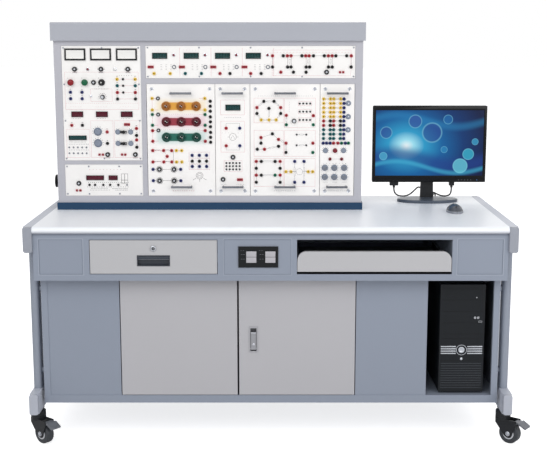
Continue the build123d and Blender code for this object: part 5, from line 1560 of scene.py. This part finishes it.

# %% [markdown]
# The split between the two keys and the seam above the skirt are grooves. One mask darkens them as painted
# shade and sinks them with a bump, and a rubber wheel sits in the split.

# %% Grooves and wheel of the mouse
mouse_finish = Finish("mouse_finish")
x, y, z = (mouse_finish.axis(name) for name in "XYZ")
seam_height = 0.8065
split = mouse_finish.patch(x, mouse_low.x, 0.0010, 0.0003) * (y < -0.058)
skirt = z < seam_height
seam = mouse_finish.patch(z, seam_height, 0.0009, 0.0003)
grooves = split.math("MAXIMUM", split, seam)
shell = mouse_finish.mix(skirt, paint("#4A4F58"), paint("#80858F"))
mouse_finish.set(
    # painted shade: the grooves are darkened
    Base_Color=mouse_finish.mix(grooves, shell, paint("#16181B")),
    Roughness=0.24 + grooves * 0.3,
)
dress(mouse, mouse_finish.bump(1.0 - grooves, 0.0005))
wheel_profile = [(7.0, 0), (8.0, 0.8), (8.0, 4.2), (7.0, 5.0), (2.0, 5.0)]
wheel_model = turned("mouse_wheel", wheel_profile, [rubber("wheel_grip", "#24262A")], sides=24)
mouse_wheel = placed(wheel_model, (0.6855, -0.072, 0.8160), (0, math.radians(90), 0))
gather("mouse_shell", [mouse, mouse_wheel], "bench", "slate_plastic", "mouse")
print("mouse wheel radius:", wheel_profile[1][0], "mm")

# %% [markdown]
# ## The computer
#
# The case is a plain steel box, and its front panel carries the detail: a ring with a round power
# key in a dark groove, four bright bars on each side of it, a ribbed air intake, and thin seams
# between the drive covers. Bars and ribs are one bevelled box each, copied down the panel.

# %% Power key
silver_trim = metal("silver_trim", "#C9CDD4", 0.26)
panel_black = moulded("panel_black", "#1A1D21", 0.36, 0.00001, 0.0, 0.2)
tower, tower_y, key_back = (0.684, 0.336), -0.297, -0.2858
key_profile = [(19.8, 0), (19.8, 11.2), (19.2, 12.0), (17.6, 12.0), (17.2, 10.6), (11.6, 10.6)]
key_ring = turned("key_ring", key_profile, [silver_trim, panel_black], 17.3, 44)
disc_profile = [(11.4, 9.6), (11.4, 11.4), (10.6, 12.2), (7.6, 12.6), (7.0, 12.2), (1.0, 12.0)]
key_disc = turned("key_disc", disc_profile, [silver_trim], sides=36)
key_parts = stand_up(key_ring, tower, [(0, 0)], key_back) + stand_up(key_disc, tower, [(0, 0)], key_back)
gather("tower_key", key_parts, "power_button", "silver_plastic", "tower_power_button")
print("power key at", tower)

# %% [markdown]
# Below and above the ring lie the ports, the reset key, a small lamp and the seams of the covers.

# %% Front panel of the computer
stripe = moulded_box("stripe", (54, 4.2, 0.9), [silver_trim], edge=0.3)
rib_grey = moulded("rib_grey", "#34383E", 0.36, 0.00001, 0.0, 0.3)
small_rib = moulded_box("intake_rib", (146, 3.4, 1.4), [rib_grey], edge=0.5)
seam_line = moulded_box("cover_seam", (150, 0.9, 0.25), [bore_dark], edge=0.05)
port_profile = [(4.0, 0), (4.0, 0.8), (3.2, 1.2), (1.9, 1.2), (1.7, 0.4)]
port_model = turned("port", port_profile, [fitting["pale"], bore_dark], 1.95, 16)
reset_key = turned("reset_key", [(4.6, 0), (4.6, 1.0), (3.8, 1.6), (1.4, 1.7)], [silver_trim], sides=18)
lamp_model = turned("case_lamp", [(2.0, 0), (2.0, 0.6), (1.4, 1.0), (0.5, 1.1)], [fitting["pale"]], sides=12)
socket_model = moulded_box("side_socket", (13, 5.5, 0.9), [fitting["pale"], bore_dark], 0.8, 0.5, 0.2)
front_parts = []
for model, points in (
    (stripe, grid((-47.5, 47.5), (12.6, 4.2, -4.2, -12.6))),
    (small_rib, grid([0], range(-140, -44, 9))),
    (seam_line, grid([0], (224, 184, 142, 100, 59, 42, -38))),
    (port_model, [(45, 119), (56, 119)]),
    (socket_model, [(64, 105)]),
    (reset_key, [(0, -33)]),
    (lamp_model, [(49, 193)]),
):
    front_parts += stand_up(model, tower, points, tower_y)
gather("tower_front_parts", front_parts, "bench", "case_black")
print("front panel parts:", len(front_parts))

# %% [markdown]
# From behind, a case of this kind shows the power supply with its fan and switch, a column of slot
# covers, and the boots of the two cables that end here.

# %% Back of the computer
boot = turned("cable_boot", [(6.0, 0), (6.0, 8), (4.6, 16), (3.6, 26), (3.1, 26)], [panel_black], sides=20)
slot_cover = moulded_box("slot_cover", (104, 13, 1.0), [silver_trim, panel_black], 2.0, 0.4, 0.3)
fan_profile = [(44, 0), (44, 1.2), (41, 1.6), (6, 1.6), (5, 3.0), (1, 3.0)]
fan_ring = turned("fan_ring", fan_profile, [panel_black, bore_dark], 41.5, 40)
back_key = moulded_box("supply_switch", (14, 20, 3.0), [fitting["black"], fitting["red"]], 2.2, 0.8, 0.4)
case_back = 0.133
back_parts = stand_behind(slot_cover, (0.664, 0.30), grid([0], range(0, -111, -22)), case_back)
back_parts += stand_behind(fan_ring, (0.715, 0.395), [(0, 0)], case_back)
back_parts += stand_behind(back_key, (0.645, 0.540), [(0, 0)], case_back)
back_parts += stand_behind(boot, (0.669, 0.450), [(0, 0)], case_back)
back_parts += stand_behind(boot, (0.712, 0.508), [(0, 0)], case_back)
gather("tower_back_parts", back_parts, "bench", "case_black")
print("back parts:", len(back_parts))

# %% [markdown]
# ## Drawer, door handle and power outlets
#
# These are the places that hands touch. The drawer has a dark recessed pull with a finger lip, and
# a cam lock above it. CAD has made the recess, so masks give the pull and the lock their own colour,
# and small moulded pieces add the lip and the lock's face.

# %% Drawer front
pull_origin = (-0.406, 0.678)
drawer_finish = Finish("drawer_front_finish")
across, up = drawer_finish.axis("X") - pull_origin[0], drawer_finish.axis("Z") - pull_origin[1]
pull = (abs(across) < 0.0571) * (abs(up) < 0.0191) * (drawer_finish.axis("Y") < -0.355)
lock = drawer_finish.length(across, drawer_finish.axis("Z") - 0.721) < 0.0102
shell = drawer_finish.mix(drawer_finish.noise(3.0, 4.0) * 0.5, paint("#B9B9BC"), paint("#B1B1B4"))
shell = drawer_finish.mix(pull, shell, paint("#2A303A"))
drawer_finish.set(
    Base_Color=drawer_finish.mix(lock, shell, paint("#8E9196")),
    Metallic=lock,
    Roughness=0.45 - pull * 0.12 - lock * 0.15,
)
dress(nodes["drawer_front"], drawer_finish.peel())
print("drawer front dressed")

# %% [markdown]
# Four small models stand in the drawer's front, each at its own depth: the lip in the recess, the
# pale edge under it, and the face of the lock with its slot.

# %% Pull and lock of the drawer
pull_dark = moulded("pull_dark", "#2E3541", 0.3, 0.00001, 0.2)
finger_lip = moulded_box("finger_lip", (108, 9.0, 3.0), [pull_dark], edge=1.2)
pull_edge = moulded_box("pull_edge", (109, 1.4, 1.0), [fitting["grey"]], edge=0.3)
lock_profile = [(9.4, 0), (9.4, 0.7), (8.6, 1.1), (5.6, 1.1), (5.2, 0.5), (1.0, 0.5)]
lock_face = turned("lock_face", lock_profile, [knob_silver, ink_dark], 5.7, 24)
lock_slot = moulded_box("lock_slot", (1.6, 6.0, 1.0), [knob_silver], edge=0.2)
drawer_parts = stand_up(finger_lip, pull_origin, [(0, 10.5)], -0.3705)
drawer_parts += stand_up(pull_edge, pull_origin, [(0, 4.2)], -0.3703)
drawer_parts += stand_up(lock_face, pull_origin, [(0, 43)], -0.3763)
drawer_parts += stand_up(lock_slot, pull_origin, [(0, 43)], -0.3766)
gather("drawer_pull_parts", drawer_parts, "drawer", "light_paint")
print("drawer parts:", len(drawer_parts))

# %% [markdown]
# The right door has a flush lever in a shallow tray. The tray and its hollow are masks about the handle's
# middle, and the hollow is painted dark as painted shade in the recess. The lever is plated metal with a push
# button and a tip.

# %% Doors and handle
def door_finish(name, handle_x=None):
    """Light grey powder coat, with a satin frame round the handle tray and painted shade in the tray's
    hollow.
    """
    finish = Finish(name)
    clouds = finish.noise(2.0, 4.0)
    colour = finish.mix(clouds * 0.6, paint("#B7B6BA"), paint("#ADADB2"))
    if handle_x is not None:
        across, up = abs(finish.axis("X") - handle_x), abs(finish.axis("Z") - 0.3805)
        tray = (across < 0.0158) * (up < 0.0468) * (finish.axis("Y") < -0.3035)
        hollow = tray * (finish.axis("Y") > -0.3184)
        colour = finish.mix(tray, colour, paint("#A9A9AE"))
        # painted shade: the hollow of the tray is darkened
        colour = finish.mix(hollow, colour, paint("#5A5B60"))
    finish.set(Base_Color=colour, Roughness=0.44 + (clouds - 0.5) * 0.12)
    return finish.peel()


dress(nodes["left_door"], door_finish("left_door_finish"))
dress(nodes["right_door"], door_finish("right_door_finish", -0.0615))
dress(nodes["handle_lever"], metal("lever_satin", "#A7A8AD", 0.34, (1, 1, 0.1)))
push_profile = [(4.2, 0), (4.2, 1.2), (3.4, 1.8), (1.0, 2.0)]
push_button = turned("push_button", push_profile, [knob_silver], sides=20)
lever_tip = moulded_box("lever_tip", (17, 3.0, 1.2), [knob_silver], edge=0.4)
lever_origin = (-0.0615, 0.342)
lever_parts = stand_up(push_button, lever_origin, [(0, 20)], -0.3192)
lever_parts += stand_up(lever_tip, lever_origin, [(0, 62.5)], -0.3190)
gather("lever_parts", lever_parts, "door_lever", "chrome_trim")
print("lever parts:", len(lever_parts))

# %% [markdown]
# The power outlets are pale inserts in a black plate, with small printed marks beside them.

# %% Power outlets
outlet_pale = moulded("outlet_pale", "#B6B4BA", 0.34)
outlet_face = moulded_box("outlet_face", (35, 19.4, 1.6), [outlet_pale], edge=0.7)
outlet_origin = (-0.112, 0.655)
outlet_parts = stand_up(outlet_face, outlet_origin, grid((45, 111), (26.7, 47.3)), -0.3785)
small_marks = [[(u, w), (u + 5.5, w)] for u, w in grid((9, 17, 74, 82), (30, 46))]
small_marks += [[(u, 60), (u + 4, 60)] for u in (8, 16, 72, 80)]
outlet_parts.append(printed("outlet_marks", outlet_origin, small_marks, ink_grey, 1.4, -0.379))
gather("outlet_parts", outlet_parts, "bench", "black_plastic")
print("outlet parts:", len(outlet_parts))

# %% [markdown]
# ## Side frames and their caps
#
# Each side frame is welded from two rails and two legs. The rails wear the light end colour and the
# legs the blue-grey of the cabinet, so a mask on height paints them from one mesh.

# %% Side frames
frame_finish = Finish("side_frame_finish")
height = frame_finish.axis("Z")
legs = (height > 0.1960) * (height < 0.7062)
dust = frame_finish.noise(3.0, 4.0)
light = frame_finish.mix(dust * 0.5, paint("#BEC2CD"), paint("#B4B8C4"))
dark = frame_finish.mix(dust * 0.5, paint("#9097A4"), paint("#878E9C"))
frame_finish.set(Base_Color=frame_finish.mix(legs, light, dark), Roughness=0.42 + (dust - 0.5) * 0.12)
dress(nodes["side_frames"], frame_finish.peel())
dress(nodes["console_hood"], powder_coat("hood_paint", "#ABAEB7", 0.42))
print("side frames painted")

# %% [markdown]
# The apron is sheet steel with three pressed rectangles. The larger of a point's distances beyond a
# rectangle's sides is zero on its edge, so a dark and a light stripe about zero look like a fold: the dark
# stripe is painted shade and the light one a painted highlight. A dark band under the worktop is a painted
# shadow.

# %% Pressed lines of the apron
apron_finish = Finish("apron_finish")
across, up = apron_finish.axis("X"), apron_finish.axis("Z")
drift = apron_finish.noise(3.0, 4.0)
tint = apron_finish.mix(drift * 0.5, paint("#8E96A5"), paint("#858D9C"))
for left, right in ((-0.802, -0.652), (-0.161, 0.070), (0.649, 0.804)):
    beyond = abs(across - (left + right) / 2) - (right - left) / 2
    above = abs(up - 0.691) - 0.061
    edge = beyond.math("MAXIMUM", beyond, above)
    # painted shade along each fold, then a painted highlight just beside it
    tint = apron_finish.mix(apron_finish.patch(edge, 0.0, 0.0022, 0.0008) * 0.45, tint, paint("#666E7C"))
    tint = apron_finish.mix(apron_finish.patch(edge, 0.0028, 0.0022, 0.0008) * 0.5, tint, paint("#AEB5C2"))
# painted shadow: a dark band on the apron just under the worktop
worktop_shadow = apron_finish.patch(up, 0.770, 0.008, 0.005)
tint = apron_finish.mix(worktop_shadow * 0.6, tint, paint("#5C6472"))
apron_finish.set(Base_Color=tint, Roughness=0.42 + (drift - 0.5) * 0.12)
dress(nodes["apron_front"], apron_finish.peel())
print("apron dressed")

# %% [markdown]
# The worktop is white laminate, and the lower part of its front edge is painted grey, as painted shade where
# the rounded edge turns down from the light.

# %% Edge of the worktop
worktop_finish = Finish("worktop_finish")
at_front = worktop_finish.axis("Y") < -0.368
# painted shade: the lower front edge is darkened to grey
edge_shade_band = worktop_finish.patch(worktop_finish.axis("Z"), 0.771, 0.018, 0.007) * at_front
cloud = worktop_finish.noise(2.0, 3.0)
pebble = worktop_finish.noise(900.0, 2.0)
white = worktop_finish.mix(cloud * 0.6, paint("#F7FAFF"), paint("#F0F3F9"))
worktop_finish.set(
    Base_Color=worktop_finish.mix(edge_shade_band * 0.85, white, paint("#A4A9B4")),
    Roughness=0.36 + (pebble - 0.5) * 0.2,
)
dress(nodes["worktop"], worktop_finish.bump(pebble, 0.00003))
print("worktop dressed")

# %% [markdown]
# ## The rear of the bench
#
# Behind the bench are sheets with pressed vents and screws. A vent slot is one small box with a sunk face,
# which is near black as painted shade for the opening, and a row of copies makes a louvre.

# %% Louvres and screws
case_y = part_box("console_case")[1][1]
sheet_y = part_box("back_panels")[1][1]
louvre, sheet_louvre = (
    moulded_box(f"{paint_name}_louvre", (86, 5.0, 2.2), [finishes[paint_name], bore_dark], 1.2, 1.6, 0.6)
    for paint_name in ("console_paint", "blue_grey_paint")
)
rear_screw_profile = [(4.4, 0), (4.4, 1.0), (3.6, 1.8), (1.8, 1.9), (1.6, 1.0)]
rear_screw = turned("rear_screw", rear_screw_profile, [knob_silver, ink_dark], 1.9, 14)
print("case back", round(case_y, 4), "sheet back", round(sheet_y, 4))

# %% [markdown]
# The copies stand on the rear faces of the CAD nodes, so their depth is read from those nodes.

# %% Rear parts
case_origin = (-0.2315, 0.824)
louvre_pitch = 14
case_rows = grid((-430, -320, 320, 430), range(470, 541, louvre_pitch))
case_parts = stand_behind(louvre, case_origin, case_rows, case_y)
case_parts += stand_behind(rear_screw, case_origin, grid(range(-550, 551, 275), (14, 300, 586)), case_y)
gather("case_rear_parts", case_parts, "bench", "console_paint")
sheet_rows = grid((-520, -410, 60, 170), range(300, 399, louvre_pitch))
sheet_parts = stand_behind(rear_screw, (0, 0), grid(range(-780, 781, 390), (190, 590)), sheet_y)
sheet_parts += stand_behind(sheet_louvre, (0, 0), sheet_rows, sheet_y)
gather("bench_rear_parts", sheet_parts, "bench", "blue_grey_paint")
print("rear parts:", len(case_parts) + len(sheet_parts))

# %% [markdown]
# ## Casters
#
# Each caster turns about its stem, so its parts are set out along its own axle. The place and the
# turn of each are those of its CAD nodes.

# %% Where the casters stand
caster_places = {
    "front_left": (-0.839, -0.310, -40.0),
    "front_right": (0.839, -0.310, -38.0),
    "rear_left": (-0.839, 0.310, 180.0),
    "rear_right": (0.839, 0.310, 25.0),
}
trail, wheel_height = 0.030, 0.0375


def caster_axis(name):
    """The wheel's middle, the direction of its axle, and its turn in radians."""
    x, y, turn = caster_places[name]
    angle = math.radians(turn)
    middle = Vector((x + trail * math.cos(angle), y + trail * math.sin(angle), wheel_height))
    return middle, Vector((math.sin(angle), -math.cos(angle), 0)), angle


print("casters:", len(caster_places))

# %% [markdown]
# The wheel keeps its CAD shape. Its finish measures the distance from the axle, which gives a grey
# tread and a dark hub. The pedals of the front pair have cross ridges, which are a sine along the
# caster's own direction.

# %% Finishes of the casters
hub_radius = 0.0225
ridges_from = 0.052


def wheel_finish(name):
    """Rubber tread outside, a dark hub inside, and dust from the floor on the tread."""
    middle, axle, angle = caster_axis(name)
    finish = Finish(f"{name}_wheel_finish")
    px, py, pz = finish.axis("X") - middle.x, finish.axis("Y") - middle.y, finish.axis("Z") - middle.z
    along = px * axle.x + py * axle.y
    round_way = px * -axle.y + py * axle.x
    reach = finish.length(round_way, pz)
    tread = reach > hub_radius
    dust = finish.noise(80.0, 5.0)
    grey = finish.mix(dust, paint("#26292D"), paint("#41454A"))
    finish.set(Base_Color=finish.mix(tread, paint("#17191C"), grey), Roughness=0.5 + (dust - 0.5) * 0.2)
    return finish.bump(dust + finish.patch(abs(along), 0.009, 0.0012, 0.0004) * -3.0, 0.00012)


def pedal_finish(name):
    """Grey moulded pedal with cross ridges for the foot."""
    middle, axle, angle = caster_axis(name)
    finish = Finish(f"{name}_pedal_finish")
    ahead = (finish.axis("X") - middle.x) * math.cos(angle) + (finish.axis("Y") - middle.y) * math.sin(angle)
    ridges = finish.node("ShaderNodeMath", {"operation": "SINE"}, {0: ahead * 1600.0})
    mottle = finish.noise(40.0, 3.0)
    finish.set(
        Base_Color=finish.mix(mottle, paint("#5B5E64"), paint("#787B82")),
        Roughness=0.4 + (mottle - 0.5) * 0.1,
    )
    return finish.bump(ridges * (ahead > ridges_from) + mottle, 0.0003)


for name in caster_places:
    dress(nodes[f"{name}_wheel"], wheel_finish(name))
    if name.startswith("front"):
        dress(nodes[f"{name}_brake_pedal"], pedal_finish(name))
print("wheels dressed:", len(caster_places))

# %% [markdown]
# Turned pieces add the bright rim ring, a washer and a six-sided bolt head on both sides of each
# wheel. The rims turn with the wheel, and the bolts stay with the fork.

# %% Rims and bolts
rim_profile = [(21.0, 0), (21.0, 0.7), (20.0, 1.3), (16.4, 1.3), (15.6, 0.5), (13.0, 0.5)]
rim_model = turned("wheel_rim", rim_profile, [fitting["pale"], fitting["black"]], 16.0, 44)
bolt_profile = [(6.6, 0), (6.6, 3.2), (5.8, 4.0), (3.6, 4.2), (3.4, 3.4), (1.2, 3.4)]
bolt_model = turned("axle_bolt", bolt_profile, [knob_silver], sides=6)
nut_disc = turned("axle_washer", [(8.4, 0), (8.4, 0.8), (7.8, 1.2), (2.0, 1.2)], [knob_silver], sides=24)
rim_offset, washer_offset, bolt_offset = 0.015, 0.020, 0.0206


def on_axle(model, name, offset):
    """One copy on each side of the wheel, this far along the axle."""
    middle, axle, angle = caster_axis(name)
    return [
        placed(model, middle + axle * (side * offset), (math.radians(90 * side), 0, angle))
        for side in (1, -1)
    ]


for name in caster_places:
    gather(f"{name}_rims", on_axle(rim_model, name, rim_offset), f"{name}_wheel", "wheel_black")
    bolts = on_axle(nut_disc, name, washer_offset) + on_axle(bolt_model, name, bolt_offset)
    gather(f"{name}_bolts", bolts, f"{name}_fork", "caster_black")
print("rims and bolts:", 2 * len(caster_places))

# %% [markdown]
# ## Put the models away
#
# The models were only patterns for the copies, and they still lie at the origin. They must not be
# seen or exported, so they are removed.

# %% Put the models away
for model in models:
    bpy.data.objects.remove(model)
print("models put away:", len(models))

# %% [markdown]
# ## Floor and light
#
# The bench was photographed on white paper in soft, even light. A large lamp above and in front
# gives the shapes their gentle shading, and two weaker ones at the sides open the shadows. The
# floor is pale, and it looks white to the camera while it keeps the shadow under the bench.

# %% Floor
bpy.ops.mesh.primitive_plane_add(size=60, location=(0, 20, -0.0005))
floor = bpy.context.object
floor.name = "studio_floor"
floor_finish = Finish("studio_floor")
seen = floor_finish.node("ShaderNodeLightPath", output="Is Camera Ray")
floor_finish.set(
    Base_Color=paint("#F2F2F3"),
    Roughness=0.8,
    Specular_IOR_Level=0.1,
    Emission_Color=floor_finish.mix(seen, (0, 0, 0, 1), (1, 1, 1, 1)),
    Emission_Strength=0.7,
)
dress(floor, floor_finish.material)

# %% [markdown]
# Each lamp is a large square that looks at the middle of the bench. The sky is brighter to the
# camera and to mirrors than to matt surfaces, so metal has something white to reflect and the
# shadows stay.

# %% Lamps and sky
lamps = (
    ("key_lamp", (-1.6, -3.6, 3.4), 3.0, 62.0),
    ("fill_lamp", (2.6, -3.2, 2.2), 2.6, 48.0),
    ("back_lamp", (0.5, 2.8, 3.2), 3.0, 32.0),
)
aim = Vector((0, 0, 0.8))
for name, place, size, power in lamps:
    bpy.ops.object.light_add(type="AREA", location=place)
    lamp = bpy.context.object
    lamp.name = name
    lamp.data.size = size
    lamp.data.energy = power
    lamp.rotation_euler = (aim - lamp.location).to_track_quat("-Z", "Y").to_euler()

world = bpy.data.worlds.new("studio_sky")
bpy.context.scene.world = world
world.use_nodes = True
sky = world.node_tree
path = sky.nodes.new("ShaderNodeLightPath")
seen_or_mirrored = sky.nodes.new("ShaderNodeMath")
seen_or_mirrored.operation = "MAXIMUM"
sky.links.new(path.outputs["Is Camera Ray"], seen_or_mirrored.inputs[0])
sky.links.new(path.outputs["Is Glossy Ray"], seen_or_mirrored.inputs[1])
level = sky.nodes.new("ShaderNodeMapRange")
level.inputs["To Min"].default_value = 0.55
level.inputs["To Max"].default_value = 1.0
sky.links.new(seen_or_mirrored.outputs[0], level.inputs["Value"])
sky.links.new(level.outputs[0], sky.nodes["Background"].inputs["Strength"])
sky.nodes["Background"].inputs["Color"].default_value = (1, 1, 1, 1)
bpy.context.scene.view_settings.view_transform = "Standard"

# %% [markdown]
